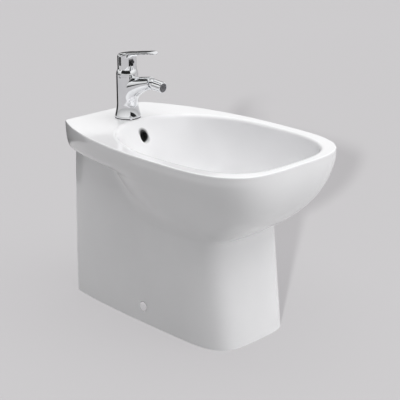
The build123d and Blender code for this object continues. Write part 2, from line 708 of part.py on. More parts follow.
def mixer_body():
    """Cast body: column and spout, with the cartridge cavity, waterways and socket for the ball."""
    body = column() + spout()
    body = body - bar(CAVITY_RADIUS, CAVITY_FLOOR, COLUMN_HEIGHT + GAP)
    body = body - bar(NUT_RADIUS + FIT, NUT_BOTTOM, COLUMN_HEIGHT + GAP)
    for side in (-1, 1):
        body = body - bar(PORT_RADIUS, GASKET, CAVITY_FLOOR + GAP, side * INLET_X, INLET_Y)
        thread = PORT_RADIUS + INLET_THREAD_STEP
        body = body - bar(thread, GASKET, GASKET + INLET_THREAD_DEPTH, side * INLET_X, INLET_Y)
    back = across_spout(-SOCKET_DEPTH).origin
    low = CAVITY_FLOOR - 2 * OUTLET_RADIUS
    body = body - slanted(OUTLET_RADIUS, (OUTLET_Y, low), (back.Y, back.Z))
    body = body - bar(PORT_RADIUS, low - PORT_RADIUS, CAVITY_FLOOR + GAP, 0, OUTLET_Y)
    body = body - across_spout(-SOCKET_DEPTH) * Cylinder(SOCKET_RADIUS, SOCKET_DEPTH + GAP, align=LOW)
    body = body - bar(STUD_RADIUS + FIT, GASKET - GAP, GASKET + STUD_IN_BODY, 0, STUD_Y)
    return body - eyelet_frame() * bar(EYELET_STEM + FIT, -EYELET_RADIUS, EYELET_RADIUS)


def chain_eyelet():
    """Bead with an upright bore on a short stem."""
    bead = Pos(0, 0, EYELET_RADIUS) * Sphere(EYELET_RADIUS)
    stem = bar(EYELET_STEM, -EYELET_RADIUS + GAP, EYELET_RADIUS)
    bore = Pos(0, 0, EYELET_RADIUS) * (Rot(0, 90, 0) * Cylinder(EYELET_BORE, 4 * EYELET_RADIUS))
    return eyelet_frame() * (stem + bead - bore)


def base_gasket():
    """Rubber ring between the base and the deck."""
    return tube(BASE_RADIUS - GAP, MIXER_HOLE_RADIUS + GASKET, 0, GASKET)


def clamp_ring(bottom, top):
    """Horseshoe below the deck: a ring segment open to the front for the hoses."""
    plate = bar(CLAMP_RADIUS, bottom, top)
    mouth_end = STUD_Y - 2 * STUD_RADIUS
    mouth = block(-CLAMP_SLOT, CLAMP_SLOT, -CLAMP_RADIUS - GAP, mouth_end, bottom - GAP, top + GAP)
    return plate - mouth - bar(STUD_RADIUS + GAP, bottom, top, 0, STUD_Y)


def clamp_pieces():
    """Seal, horseshoe, nut and stud that hold the mixer on the deck."""
    seal_bottom = -DECK - CLAMP_SEAL
    plate_bottom = seal_bottom - CLAMP_THICKNESS
    nut_bottom = plate_bottom - STUD_NUT_HEIGHT
    nut = hexagon(STUD_NUT_RADIUS, nut_bottom, plate_bottom, 0, STUD_Y)
    stud_top = GASKET + STUD_IN_BODY
    stud_bottom = nut_bottom - STUD_SPARE
    return {"horseshoe_seal": clamp_ring(seal_bottom, -DECK),
            "horseshoe_washer": clamp_ring(plate_bottom, seal_bottom),
            "mixer_stud_nut": nut - bar(STUD_RADIUS + FIT, nut_bottom, plate_bottom, 0, STUD_Y),
            "mixer_stud": bar(STUD_RADIUS, stud_bottom, stud_top, 0, STUD_Y)}


# Cartridge and lever


def ball_at_pivot(radius):
    """Sphere about the pivot of the lever."""
    return Pos(0, 0, PIVOT_HEIGHT) * Sphere(radius)


def cartridge_dome():
    """Round shell over the cartridge, which the lever slides on."""
    inner = COLUMN_RADIUS - DOME_WALL
    below = bar(2 * COLUMN_RADIUS, PIVOT_HEIGHT - 2 * COLUMN_RADIUS, PIVOT_HEIGHT)
    shell = (ball_at_pivot(COLUMN_RADIUS) - below) + bar(COLUMN_RADIUS, COLUMN_HEIGHT, PIVOT_HEIGHT)
    room = (ball_at_pivot(inner) - below) + bar(inner, COLUMN_HEIGHT - GAP, PIVOT_HEIGHT)
    return shell - room - bar(DOME_OPENING, PIVOT_HEIGHT, PIVOT_HEIGHT + 2 * COLUMN_RADIUS)


def cartridge_nut():
    """Threaded ring that holds the cartridge down by its shoulder."""
    top = HOUSING_SHOULDER + NUT_LIP
    lip = HOUSING_NECK_RADIUS + GAP
    return turned((CARTRIDGE_RADIUS + GAP, NUT_BOTTOM), (NUT_RADIUS, NUT_BOTTOM), (NUT_RADIUS, top),
                  (lip, top), (lip, HOUSING_SHOULDER), (CARTRIDGE_RADIUS + GAP, HOUSING_SHOULDER))


def ports(radius, bottom, top):
    """Bars through the two inlets and the outlet."""
    spots = ((INLET_X, INLET_Y), (-INLET_X, INLET_Y), (0, OUTLET_Y))
    return [bar(radius, bottom, top, x, y) for x, y in spots]


def cartridge_seals():
    """One rubber ring round each port."""
    outer = ports(PORT_RADIUS + SEAL_RING, CAVITY_FLOOR, CARTRIDGE_BOTTOM)
    inner = ports(PORT_RADIUS, CAVITY_FLOOR, CARTRIDGE_BOTTOM)
    return Compound(children=[big - small for big, small in zip(outer, inner)])


def cartridge_fixed():
    """Base, housing and lower disc, which stay with the body."""
    foot = bar(CARTRIDGE_RADIUS, CARTRIDGE_BOTTOM, DISC_BOTTOM)
    disc = bar(LOWER_DISC_RADIUS, DISC_BOTTOM, DISC_TOP)
    for hole in ports(OUTLET_RADIUS, CARTRIDGE_BOTTOM, DISC_TOP):
        foot -= hole
        disc -= hole
    top = HOUSING_SHOULDER + HOUSING_NECK
    housing = turned((HOUSING_BORE, DISC_BOTTOM), (CARTRIDGE_RADIUS, DISC_BOTTOM),
                     (CARTRIDGE_RADIUS, HOUSING_SHOULDER), (HOUSING_NECK_RADIUS, HOUSING_SHOULDER),
                     (HOUSING_NECK_RADIUS, top), (HOUSING_BORE, top))
    return {"cartridge_base": foot, "lower_ceramic_disc": disc, "cartridge_housing": housing}


def stem_frame():
    """Place of the lever stem: at the pivot, leaning to the front."""
    return Pos(0, 0, PIVOT_HEIGHT) * Rot(STEM_LEAN, 0, 0)


def foot_offset():
    """How far the foot of the leaning stem stands from the axis, in the middle of its pocket."""
    return (PIVOT_HEIGHT - CARRIER_TOP + POCKET_DEPTH / 2) * tan(radians(STEM_LEAN))


def cartridge_moving():
    """Upper disc and carrier, which slide, the rotor, and the stem with its pin."""
    shift = foot_offset()
    disc = bar(CARRIER_RADIUS, DISC_TOP, CARRIER_BOTTOM, 0, shift)
    disc = disc - bar(CARRIER_RADIUS / 2, DISC_TOP, DISC_TOP + DISC_THICKNESS / 3, 0, shift)
    half = STEM_FOOT_RADIUS + GAP
    y0, y1 = shift - POCKET_LENGTH / 2, shift + POCKET_LENGTH / 2
    pocket = block(-half, half, y0, y1, CARRIER_TOP - POCKET_DEPTH, CARRIER_TOP + GAP)
    slider = bar(CARRIER_RADIUS, CARRIER_BOTTOM, CARRIER_TOP, 0, shift) - pocket
    radius = HOUSING_BORE - GAP
    half = STEM_SIZE / 2 + GAP
    rotor_top = PIVOT_HEIGHT + ROTOR_ABOVE_PIVOT
    rotor = bar(radius, ROTOR_BOTTOM, rotor_top)
    rotor = rotor - block(-half, half, -ROTOR_SLOT, ROTOR_SLOT, ROTOR_BOTTOM - GAP, rotor_top + GAP)
    across = Pos(0, 0, PIVOT_HEIGHT) * Rot(0, 90, 0)
    pin_bore = across * Cylinder(STEM_PIN_RADIUS + FIT, 2 * COLUMN_RADIUS)
    pin = across * Cylinder(STEM_PIN_RADIUS, 2 * radius - 2 * GAP)
    square = block(-STEM_SIZE / 2, STEM_SIZE / 2, -STEM_SIZE / 2, STEM_SIZE / 2, -STEM_HUB, STEM_TOP)
    stem = stem_frame() * (square + bar(STEM_FOOT_RADIUS, -STEM_FOOT_DROP, -STEM_HUB))
    return {"upper_ceramic_disc": disc, "disc_carrier": slider, "cartridge_rotor": rotor - pin_bore,
            "lever_stem": stem - pin_bore, "stem_pin": pin}


def handle_top(y):
    """Height of the lever's top line, which rises to the front."""
    return HANDLE_TOP_BACK + (HANDLE_RADIUS - y) * tan(radians(HANDLE_RISE))


def side_arc(first, middle, last):
    """Arc in the plane x = 0 through three (y, height) points."""
    return ThreePointArc((0, *first), (0, *middle), (0, *last))


def handle_side_face():
    """Lever seen from the side: barrel, rising plate, rounded back and drooping tip."""
    back, front = HANDLE_RADIUS, -HANDLE_RADIUS
    bulge = 1 - sqrt(0.5)
    back_low = (back, HANDLE_TOP_BACK - HANDLE_BACK_RADIUS)
    back_high = (back - HANDLE_BACK_RADIUS, handle_top(back - HANDLE_BACK_RADIUS))
    back_mid = (back - bulge * HANDLE_BACK_RADIUS, HANDLE_TOP_BACK - bulge * HANDLE_BACK_RADIUS)
    bend_y = -HANDLE_REACH + HANDLE_DROOP_LENGTH
    bend = (bend_y, handle_top(bend_y))
    tip_high = (-HANDLE_REACH, handle_top(-HANDLE_REACH) - HANDLE_DROOP)
    half_way = (bend_y - HANDLE_REACH) / 2
    droop = (half_way, handle_top(half_way) - HANDLE_DROOP / 4)
    tip_low = (-HANDLE_REACH, tip_high[1] - HANDLE_PLATE / 2)
    bend_low = (bend_y, bend[1] - HANDLE_PLATE)
    throat_y = front - HANDLE_THROAT
    throat_far = (throat_y, handle_top(throat_y) - HANDLE_PLATE)
    throat_near = (front, handle_top(front) - HANDLE_PLATE - HANDLE_THROAT)
    throat_mid = (front - bulge * HANDLE_THROAT, handle_top(front) - HANDLE_PLATE - bulge * HANDLE_THROAT)
    low_front, low_back = (front, PIVOT_HEIGHT), (back, PIVOT_HEIGHT)
    straight = [(back_high, bend), (tip_high, tip_low), (tip_low, bend_low), (bend_low, throat_far),
                (throat_near, low_front), (low_front, low_back), (low_back, back_low)]
    edges = [Line((0, *start), (0, *end)) for start, end in straight]
    edges += [side_arc(back_low, back_mid, back_high), side_arc(bend, droop, tip_high),
              side_arc(throat_far, throat_mid, throat_near)]
    return make_face(edges)


def lever_handle():
    """Cast lever: a barrel over the dome and a flat tongue to the front."""
    tip_y = -HANDLE_REACH + HANDLE_TIP_HALF_WIDTH
    tongue = make_face(Polyline((HANDLE_HALF_WIDTH, 0), (HANDLE_TIP_HALF_WIDTH, tip_y),
                                (-HANDLE_TIP_HALF_WIDTH, tip_y), (-HANDLE_HALF_WIDTH, 0), close=True))
    plan = Circle(HANDLE_RADIUS) + tongue + Pos(0, tip_y) * Circle(HANDLE_TIP_HALF_WIDTH)
    tall = extrude(Pos(0, 0, PIVOT_HEIGHT) * plan, 2 * HANDLE_REACH)
    lever = tall & extrude(handle_side_face(), HANDLE_RADIUS + GAP, both=True)
    lever = lever - ball_at_pivot(COLUMN_RADIUS + GAP)
    half = STEM_SIZE / 2 + FIT
    lever = lever - stem_frame() * block(-half, half, -half, half, 0, STEM_TOP + GAP)
    outside = (-2 * HANDLE_RADIUS, GRUB_HEIGHT)
    lever = lever - slanted(GRUB_RADIUS + FIT, (grub_span()[0] + GAP, GRUB_HEIGHT), outside)
    return lever - slanted(PLUG_RADIUS + FIT, (-HANDLE_RADIUS + PLUG_DEPTH, GRUB_HEIGHT), outside)


def grub_span():
    """Ends of the grub screw along Y: on the stem, and towards the front."""
    height = GRUB_HEIGHT - PIVOT_HEIGHT
    lean = radians(STEM_LEAN)
    on_stem = -(height * tan(lean) + (STEM_SIZE / 2 + GRUB_RADIUS * sin(lean)) / cos(lean)) - FIT
    return on_stem, on_stem - GRUB_LENGTH


def grub_screw():
    """Headless screw that holds the lever on its stem."""
    end, start = grub_span()
    return slanted(GRUB_RADIUS, (end, GRUB_HEIGHT), (start, GRUB_HEIGHT))


def screw_plug():
    """Plug over the grub screw, flush with the barrel."""
    seat = -HANDLE_RADIUS + PLUG_DEPTH
    plug = slanted(PLUG_RADIUS, (seat, GRUB_HEIGHT), (-HANDLE_RADIUS - PLUG_DEPTH, GRUB_HEIGHT))
    return plug & bar(HANDLE_RADIUS + GAP, PIVOT_HEIGHT, 2 * GRUB_HEIGHT)


# Swivel nozzle


def along_spout(*points):
    """Piece turned about the spout's axis from (radius, distance beyond the end) corners."""
    return across_spout(0) * turned(*points)


def swivel_collar():
    """Threaded collar that holds the ball in the end of the spout."""
    sleeve = SOCKET_RADIUS - FIT
    inner = BALL_RADIUS / 2
    shell = along_spout((inner, -COLLAR_SLEEVE), (sleeve, -COLLAR_SLEEVE), (sleeve, 0),
                        (SPOUT_END_RADIUS, 0), (SPOUT_END_RADIUS, COLLAR_LENGTH - COLLAR_BEVEL),
                        (SPOUT_END_RADIUS - COLLAR_BEVEL, COLLAR_LENGTH), (inner, COLLAR_LENGTH))
    room = across_spout(BALL_OFFSET) * Sphere(BALL_RADIUS + GAP)
    entry = across_spout(0) * bar(BALL_RADIUS + GAP, -COLLAR_SLEEVE - GAP, BALL_OFFSET)
    return shell - room - entry


def swivel_seat_ring():
    """Slippery ring behind the ball."""
    back, front = GAP - SOCKET_DEPTH, -COLLAR_SLEEVE - GAP
    inner, outer = OUTLET_RADIUS + GAP, SOCKET_RADIUS - GAP
    ring = along_spout((inner, back), (outer, back), (outer, front), (inner, front))
    return ring - across_spout(BALL_OFFSET) * Sphere(BALL_RADIUS + GAP)


def nozzle_frame():
    """Place of the nozzle: at the ball's centre, pointing to the front and a little down."""
    drop = radians(NOZZLE_DROP)
    return Plane(origin=across_spout(BALL_OFFSET).origin, x_dir=(1, 0, 0), z_dir=(0, -cos(drop), -sin(drop)))


def swivel_ball():
    """Ball with a bore and a threaded shank."""
    ball = Sphere(BALL_RADIUS) + bar(SHANK_RADIUS, 0, NOZZLE_BACK + NOZZLE_THREAD)
    return nozzle_frame() * (ball - bar(BALL_BORE, -BALL_RADIUS - GAP, NOZZLE_BACK + NOZZLE_THREAD + GAP))


def nozzle_stack():
    """Distances from the ball: washer seat, aerator's back, aerator's front."""
    front = NOZZLE_LENGTH - AERATOR_RECESS
    back = front - AERATOR_LENGTH
    return back - AERATOR_WASHER, back, front


def nozzle_housing():
    """Barrel of the nozzle, screwed on the ball's shank."""
    seat = nozzle_stack()[0]
    inner = NOZZLE_RADIUS - NOZZLE_WALL
    thread = SHANK_RADIUS + FIT
    deep = NOZZLE_BACK + NOZZLE_THREAD
    step = inner - NOZZLE_WALL
    barrel = turned((thread, NOZZLE_BACK), (NOZZLE_BACK_RADIUS, NOZZLE_BACK),
                    (NOZZLE_RADIUS, NOZZLE_SHOULDER), (NOZZLE_RADIUS, NOZZLE_LENGTH - AERATOR_RECESS),
                    (NOZZLE_RADIUS - AERATOR_RECESS, NOZZLE_LENGTH), (inner, NOZZLE_LENGTH),
                    (inner, seat), (step, seat), (step, deep), (thread, deep))
    return nozzle_frame() * barrel


def aerator_pieces():
    """Washer and insert; the insert has rings of small holes in its face."""
    seat, back, front = nozzle_stack()
    inner = NOZZLE_RADIUS - NOZZLE_WALL
    washer = tube(inner - FIT, BALL_BORE, seat, back)
    insert = bar(inner - FIT, back, front)
    for ring, count in ((0, 1), (1, 6), (2, 12)):
        reach = ring * AERATOR_RING_STEP
        for i in range(count):
            angle = 2 * pi * i / count
            x, y = reach * cos(angle), reach * sin(angle)
            insert -= bar(AERATOR_HOLE_RADIUS, front - AERATOR_LENGTH / 3, front + GAP, x, y)
    return {"aerator_washer": nozzle_frame() * washer, "aerator_insert": nozzle_frame() * insert}


# Waste


def at_waste(shape):
    """Moves a piece from the waste's own place to the basin floor."""
    return Pos(0, WASTE_Y, RIM_Z - BASIN_DEPTH) * shape


def waste_body():
    """Flange and tail in one, threaded above and below a relief, with overflow slots and a bridge."""
    inner = TAIL_BORE
    under = -WASTE_RECESS + WASTE_SEAL
    top = under + FLANGE_THICKNESS
    seat = inner + SEAT_STEP
    relief_low = OUTLET_THREAD - TAIL_LENGTH
    relief_top = relief_low + THREAD_RELIEF_WIDTH
    neck = TAIL_RADIUS - THREAD_RELIEF
    shell = turned((inner, -TAIL_LENGTH), (TAIL_RADIUS, -TAIL_LENGTH), (TAIL_RADIUS, relief_low),
                   (neck, relief_low), (neck, relief_top), (TAIL_RADIUS, relief_top), (TAIL_RADIUS, under),
                   (FLANGE_RADIUS, under), (FLANGE_RADIUS, top - FLANGE_THICKNESS / 2),
                   (FLANGE_RADIUS - FLANGE_THICKNESS, top),
                   (seat + FLANGE_THICKNESS, top), (seat, under), (inner, under - FLANGE_THICKNESS))
    for i in range(SLOT_COUNT):
        turn = Rot(0, 0, 90 + 360 * i / SLOT_COUNT)
        slot = block(0, 2 * TAIL_RADIUS, -SLOT_WIDTH / 2, SLOT_WIDTH / 2, -SLOT_HEIGHT, 0)
        shell -= turn * Pos(0, 0, -SLOT_TOP) * slot
    hub = tube(CLICK_RADIUS + TAIL_WALL, CLICK_RADIUS + FIT, -BRIDGE_TOP - BRIDGE_HEIGHT, -BRIDGE_TOP)
    start, end = CLICK_RADIUS + TAIL_WALL / 2, inner + TAIL_WALL / 2
    for i in range(SLOT_COUNT):
        turn = Rot(0, 0, 360 * i / SLOT_COUNT)
        arm = block(start, end, -BRIDGE_ARM / 2, BRIDGE_ARM / 2, -BRIDGE_HEIGHT, 0)
        hub += turn * Pos(0, 0, -BRIDGE_TOP) * arm
    return shell + hub


def waste_fastening():
    """Seals, washer and nut that clamp the waste in the china."""
    seat = -WASTE_RECESS
    seal_low = -WASTE_BOSS_DEPTH - LOWER_SEAL
    washer_low = seal_low - WASTE_WASHER
    nut_low = washer_low - WASTE_NUT_HEIGHT
    bore = TAIL_RADIUS + FIT
    cone = turned((bore, seal_low), (LOWER_SEAL_RADIUS, seal_low), (LOWER_SEAL_RADIUS, -WASTE_BOSS_DEPTH),
                  (WASTE_HOLE_RADIUS - GAP, -WASTE_BOSS_DEPTH), (bore, -WASTE_BOSS_DEPTH + LOWER_SEAL / 2))
    nut = hexagon(WASTE_NUT_RADIUS, nut_low, washer_low) - bar(bore, nut_low - GAP, washer_low + GAP)
    return {"waste_upper_seal": tube(FLANGE_RADIUS - GAP, WASTE_HOLE_RADIUS + GAP, seat, seat + WASTE_SEAL),
            "waste_lower_seal": cone, "waste_washer": tube(LOWER_SEAL_RADIUS, bore, washer_low, seal_low),
            "waste_nut": nut}


def stopper_pieces():
    """Click unit, its stem, and the cap with its ring seal, in the closed place."""
    seat_top = -WASTE_RECESS + WASTE_SEAL
    unit = bar(CLICK_RADIUS, -CLICK_TOP - CLICK_LENGTH, -CLICK_TOP)
    unit = unit - bar(CLICK_STEM_RADIUS + FIT, -CLICK_TOP - CLICK_LENGTH / 2, -CLICK_TOP + GAP)
    unit = unit + tube(CLICK_RADIUS + TAIL_WALL, CLICK_RADIUS - FIT, -BRIDGE_TOP, -BRIDGE_TOP + TAIL_WALL)
    cap_low = seat_top - STOPPER_SKIRT
    stem = bar(CLICK_STEM_RADIUS, -CLICK_TOP - CLICK_LENGTH / 2 + GAP, cap_low + STOPPER_SKIRT / 2)
    cap = Pos(0, 0, cap_low) * domed(STOPPER_RADIUS, STOPPER_SKIRT, STOPPER_SKIRT + STOPPER_CROWN)
    waist = STOPPER_RADIUS - STOPPER_SKIRT
    cap = cap - tube(STOPPER_RADIUS + GAP, waist, cap_low, cap_low + STOPPER_SKIRT / 2)
    cap = cap - bar(CLICK_STEM_RADIUS + FIT, cap_low, cap_low + STOPPER_SKIRT / 2)
    ring = tube(STOPPER_RADIUS, waist + FIT, cap_low, cap_low + STOPPER_SKIRT / 2)
    return {"click_unit": unit, "stopper_stem": stem, "stopper_cap": cap, "stopper_seal": ring}


def fixing_pieces():
    """China and what holds it to the floor."""
    return {**china_pieces(), "floor_bracket_left": floor_bracket(-1),
            "floor_bracket_right": floor_bracket(1), "side_screw_nuts": both_sides(fixing_nut),
            "side_screw_sleeves": both_sides(fixing_sleeve), "side_screws": both_sides(fixing_screw),
            "side_screw_caps": both_sides(screw_cap)}


def mixer_pieces():
    """Mixer with its cartridge, lever, nozzle and clamp, in the mixer's own place."""
    return {"mixer_body": mixer_body(), "chain_eyelet": chain_eyelet(), "base_gasket": base_gasket(),
            "cartridge_dome": cartridge_dome(), "cartridge_nut": cartridge_nut(),
            "cartridge_seals": cartridge_seals(), "lever_handle": lever_handle(),
            "handle_grub_screw": grub_screw(), "handle_screw_plug": screw_plug(),
            "swivel_collar": swivel_collar(), "swivel_seat_ring": swivel_seat_ring(),
            "swivel_ball": swivel_ball(), "nozzle_housing": nozzle_housing(),
            **clamp_pieces(), **cartridge_fixed(), **cartridge_moving(), **aerator_pieces()}


def waste_pieces():
    """Waste with its stopper, in the waste's own place."""
    return {"waste_body": waste_body(), **waste_fastening(), **stopper_pieces()}


def all_pieces():
    """Every node of the bidet, by name, in place."""
    pieces = fixing_pieces()
    pieces.update({name: at_mixer(piece) for name, piece in mixer_pieces().items()})
    pieces.update({name: at_waste(piece) for name, piece in waste_pieces().items()})
    return pieces


os.makedirs("parts", exist_ok=True)
for name, piece in all_pieces().items():
    export_step(piece, f"parts/{name}.step")
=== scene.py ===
"""Looks of a back-to-wall bidet: glazed china, a chrome mixer with a swivel nozzle, and a plain studio.

Metres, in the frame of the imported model. Sizes written in millimetres become metres in make_piece.
X is across, -Y is the front, the wall is y = 280, the floor is z = 0.
"""
import json

import bmesh
import bpy
from mathutils import Matrix, Vector
import numpy as np


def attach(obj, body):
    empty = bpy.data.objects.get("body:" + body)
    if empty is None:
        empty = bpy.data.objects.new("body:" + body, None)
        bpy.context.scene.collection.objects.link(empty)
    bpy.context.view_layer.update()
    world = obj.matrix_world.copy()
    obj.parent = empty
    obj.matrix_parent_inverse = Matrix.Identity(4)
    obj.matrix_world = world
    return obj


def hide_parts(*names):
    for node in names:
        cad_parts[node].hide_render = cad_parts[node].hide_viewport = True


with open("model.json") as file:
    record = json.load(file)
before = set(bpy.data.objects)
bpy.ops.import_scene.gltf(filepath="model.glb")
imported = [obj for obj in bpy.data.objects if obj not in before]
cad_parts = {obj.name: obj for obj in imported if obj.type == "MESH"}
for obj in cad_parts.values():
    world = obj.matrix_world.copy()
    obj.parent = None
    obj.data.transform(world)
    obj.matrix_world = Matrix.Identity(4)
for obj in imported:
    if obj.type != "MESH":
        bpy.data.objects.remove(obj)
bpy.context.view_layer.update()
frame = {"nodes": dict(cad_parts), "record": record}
nodes = frame["nodes"]

MM = 0.001

# China outlines: half width, front reach, front power, rear reach, rear power
RIM = np.array([183.5, 242.0, 3.8, 396.5, 2.0])
NECK = np.array([119.5, 105.0, 3.1, 391.0, 2.6])
FOOT = np.array([110.0, 145.5, 4.0, 448.0, 3.0])
REACHES = np.array([1.0, 1.0, 0.0, 1.0, 0.0])
MID_Y = -38.0
BACK_Y = 280.0
RIM_Z = 395.0
SEAM_Z = 328.0
SEAM_FILLET = 3.0
BOWL_TOP_Z = 379.0
BOWL_LOW_Z = 215.0
BLEND = 16.0
BLEND_FADE = 40.0
CORNER = 13.0
EDGE_ROLL = 3.0
RIM_ROLL = 9.0
RIM_ROLL_REAR = 5.5

# Basin and the walls behind the glaze
BASIN_DEPTH = 145.0
BASIN_FLOOR = 40.0
WASTE_Y = 20.0
RECESS_RADIUS, RECESS_DEPTH = 31.3, 2.5
WASTE_HOLE, BOSS_RADIUS, BOSS_DEPTH = 23.0, 42.0, 28.0
WALL = 11.0
DECK = 14.0
UNDER_DECK = RIM_Z - DECK
MIXER_Y, MIXER_HOLE = 202.0, 17.5
OVERFLOW_Z, OVERFLOW_RADIUS, OVERFLOW_LIP, OVERFLOW_DEPTH = 359.0, 11.0, 2.5, 18.0
DUCT_RADIUS, DUCT_END_Z, DUCT_SHARE = 14.0, 236.5, 0.88
FIX_Y, FIX_Z, FIX_RADIUS, FIX_LIP, FIX_DEPTH = 41.0, 38.0, 10.9, 1.2, 3.0

# Columns of the china's grids
SIDE_COLUMNS = 241
CORNER_COLUMNS = 8
STRIP_COLUMNS = 6
BACK_COLUMNS = 24
BLOCK = 8


def between(first, second, share):
    """Outline part of the way from one to another."""
    return first + (second - first) * np.asarray(share)[..., None]


def plan_radius(angle, outline):
    """Superellipse about the middle: (|sin a / half|^n + |cos a / reach|^n)^(-1/n); angle 0 looks to the front."""
    half, front, front_power, rear, rear_power = np.moveaxis(outline, -1, 0)
    ahead = np.cos(angle) > 0
    power = np.where(ahead, front_power, rear_power)
    total = (np.abs(np.sin(angle)) / half) ** power
    total = total + (np.abs(np.cos(angle)) / np.where(ahead, front, rear)) ** power
    return total ** (-1 / power)


def plan_point(radius, angle, middle=MID_Y):
    """Point at a radius and an angle from the middle: (r sin a, middle - r cos a)."""
    return radius * np.sin(angle), middle - radius * np.cos(angle)


def pedestal(z):
    """Pedestal outline, straight from the foot to the neck."""
    return between(FOOT, NECK, np.minimum(z, SEAM_Z) / SEAM_Z)


def bowl(z):
    """Bowl outline: with s the depth share, half = 183.5 - 83.5 s^1.27 and front = 242 - 133.5 s^2.28."""
    depth = np.clip((BOWL_TOP_Z - z) / (BOWL_TOP_Z - BOWL_LOW_Z), 0, 1)
    return np.stack([RIM[0] - 83.5 * depth ** 1.27, RIM[1] - 133.5 * depth ** 2.28,
                     RIM[2] - 0.4 * depth, 168 + 0.42 * (z - BOWL_LOW_Z), 2 + 0 * z], axis=-1)


def outer_radius(z, angle):
    """Outside of the china: the larger of band or pedestal and bowl, plus near^2 width / 4 where they are alike."""
    drop = np.clip((RIM_Z - z) / (RIM_Z - SEAM_Z), 0, 1)
    band = between(RIM, NECK, 1 - np.sqrt(1 - drop ** 2))
    first = plan_radius(angle, np.where((z >= SEAM_Z)[..., None], band, pedestal(z)))
    second = plan_radius(angle, bowl(z))
    width = np.minimum(BLEND, BLEND * (BOWL_TOP_Z - z) / BLEND_FADE)
    width = np.maximum(np.minimum(width, z - BOWL_LOW_Z + 0.3), 1e-6)
    near = np.clip(1 - np.abs(first - second) / width, 0, 1)
    return np.where(z > BOWL_LOW_Z, np.maximum(first, second) + near ** 2 * width / 4, first)


def outer_point(z, angle):
    """Point of the outside at a height and an angle."""
    return plan_point(outer_radius(z, angle), angle)


def inner_point(z, angle):
    """Point of the room inside the pedestal: its outline moved in by the wall, which thickens at the rear ends."""
    thicker = 4 * np.clip((np.abs(angle) - 2.35) / 0.4, 0, 1)
    return plan_point(plan_radius(angle, pedestal(z) - WALL * REACHES) - thicker, angle)


def angle_at(point, z, y):
    """Angle at which an outline reaches y behind its middle, by halving the range."""
    low, high = np.full(z.shape, np.pi / 2), np.full(z.shape, np.pi)
    for _ in range(40):
        middle = (low + high) / 2
        short = point(z, middle)[1] < y
        low, high = np.where(short, middle, low), np.where(short, high, middle)
    return low


def curve(first, middle, last, steps):
    """Short curve through a corner: (1 - t)^2 A + 2 t (1 - t) B + t^2 C, as rows from A to C."""
    t = np.linspace(0, 1, steps + 1).reshape((-1,) + (1,) * first.ndim)
    return (1 - t) ** 2 * first + 2 * t * (1 - t) * middle + t ** 2 * last


def skin_rows(heights):
    """U-shaped rows of the outside: right rear corner arc, side, front, side, left rear corner arc."""
    z = np.asarray(heights, float)[:, None]
    wall_x = outer_point(z, angle_at(outer_point, z, BACK_Y))[0]
    near_x = outer_point(z, angle_at(outer_point, z, BACK_Y - CORNER))[0]
    lean = (near_x - wall_x) / CORNER
    run = CORNER / np.tan((np.pi / 2 + np.arctan(lean)) / 2)
    last = angle_at(outer_point, z, BACK_Y - run / np.hypot(1, lean))
    side_x, side_y = outer_point(z, last * np.linspace(1, -1, SIDE_COLUMNS))
    across, along = side_x[:, :1] - wall_x + run, BACK_Y - side_y[:, :1]
    radius = (across ** 2 + along ** 2) / (2 * along)
    sweep = np.arctan2(across, radius - along) * np.linspace(0, 1, CORNER_COLUMNS + 1)[:-1]
    arc_x = wall_x - run + radius * np.sin(sweep)
    arc_y = BACK_Y - radius + radius * np.cos(sweep)
    x = np.hstack([arc_x, side_x, -arc_x[:, ::-1]])
    y = np.hstack([arc_y, side_y, arc_y[:, ::-1]])
    return np.stack([x, y, z + 0 * x], axis=-1)


def basin_outline(depth):
    """Basin outline and middle: across = (1 - d^2.3)^0.42 for sides and front, (1 - d)^0.85 for the rear."""
    across = np.maximum(1 - depth ** 2.3, 0) ** 0.42
    back_y = WASTE_Y + BASIN_FLOOR + 113 * np.maximum(1 - depth, 0) ** 0.85
    middle = WASTE_Y - 58 * across
    front_y = WASTE_Y - BASIN_FLOOR - 238.5 * across
    outline = np.stack([BASIN_FLOOR + 117 * across, middle - front_y, 2 + 1.4 * across,
                        back_y - middle, 2 + 0 * across], axis=-1)
    return outline, middle


def basin_rows(depths, angles, grow=0.0):
    """Basin rings at depth shares, at the given angles about each ring's own middle."""
    depth = np.asarray(depths, float)[:, None]
    outline, middle = basin_outline(depth)
    x, y = plan_point(plan_radius(angles, outline) + grow, angles, middle)
    return np.stack([x, y, RIM_Z - BASIN_DEPTH * depth + 0 * x], axis=-1)


def rings(sizes, angles):
    """Rings round the waste from (radius, height) pairs."""
    radius, height = np.array(sizes, float).T[..., None]
    x, y = plan_point(radius, angles, WASTE_Y)
    return np.stack([x, y, height + 0 * x], axis=-1)


def inside_shell(x, y, z, wall=WALL):
    """True where a point lies inside a shell round the basin: its outline one wall lower and one wall wider."""
    outline, middle = basin_outline(np.clip((RIM_Z - z - wall) / BASIN_DEPTH, 0, 1))
    angle = np.arctan2(x, middle - y)
    above = z > RIM_Z - BASIN_DEPTH - wall
    return above & (np.hypot(x, y - middle) < plan_radius(angle, outline) + wall)


def ceiling(x, y):
    """Height of the underside over the pedestal's room, by halving between the basin's floor and the deck."""
    low, high = np.full(x.shape, RIM_Z - BASIN_DEPTH - WALL), np.full(x.shape, UNDER_DECK)
    for _ in range(36):
        middle = (low + high) / 2
        inside = inside_shell(x, y, middle)
        low, high = np.where(inside, low, middle), np.where(inside, middle, high)
    return high


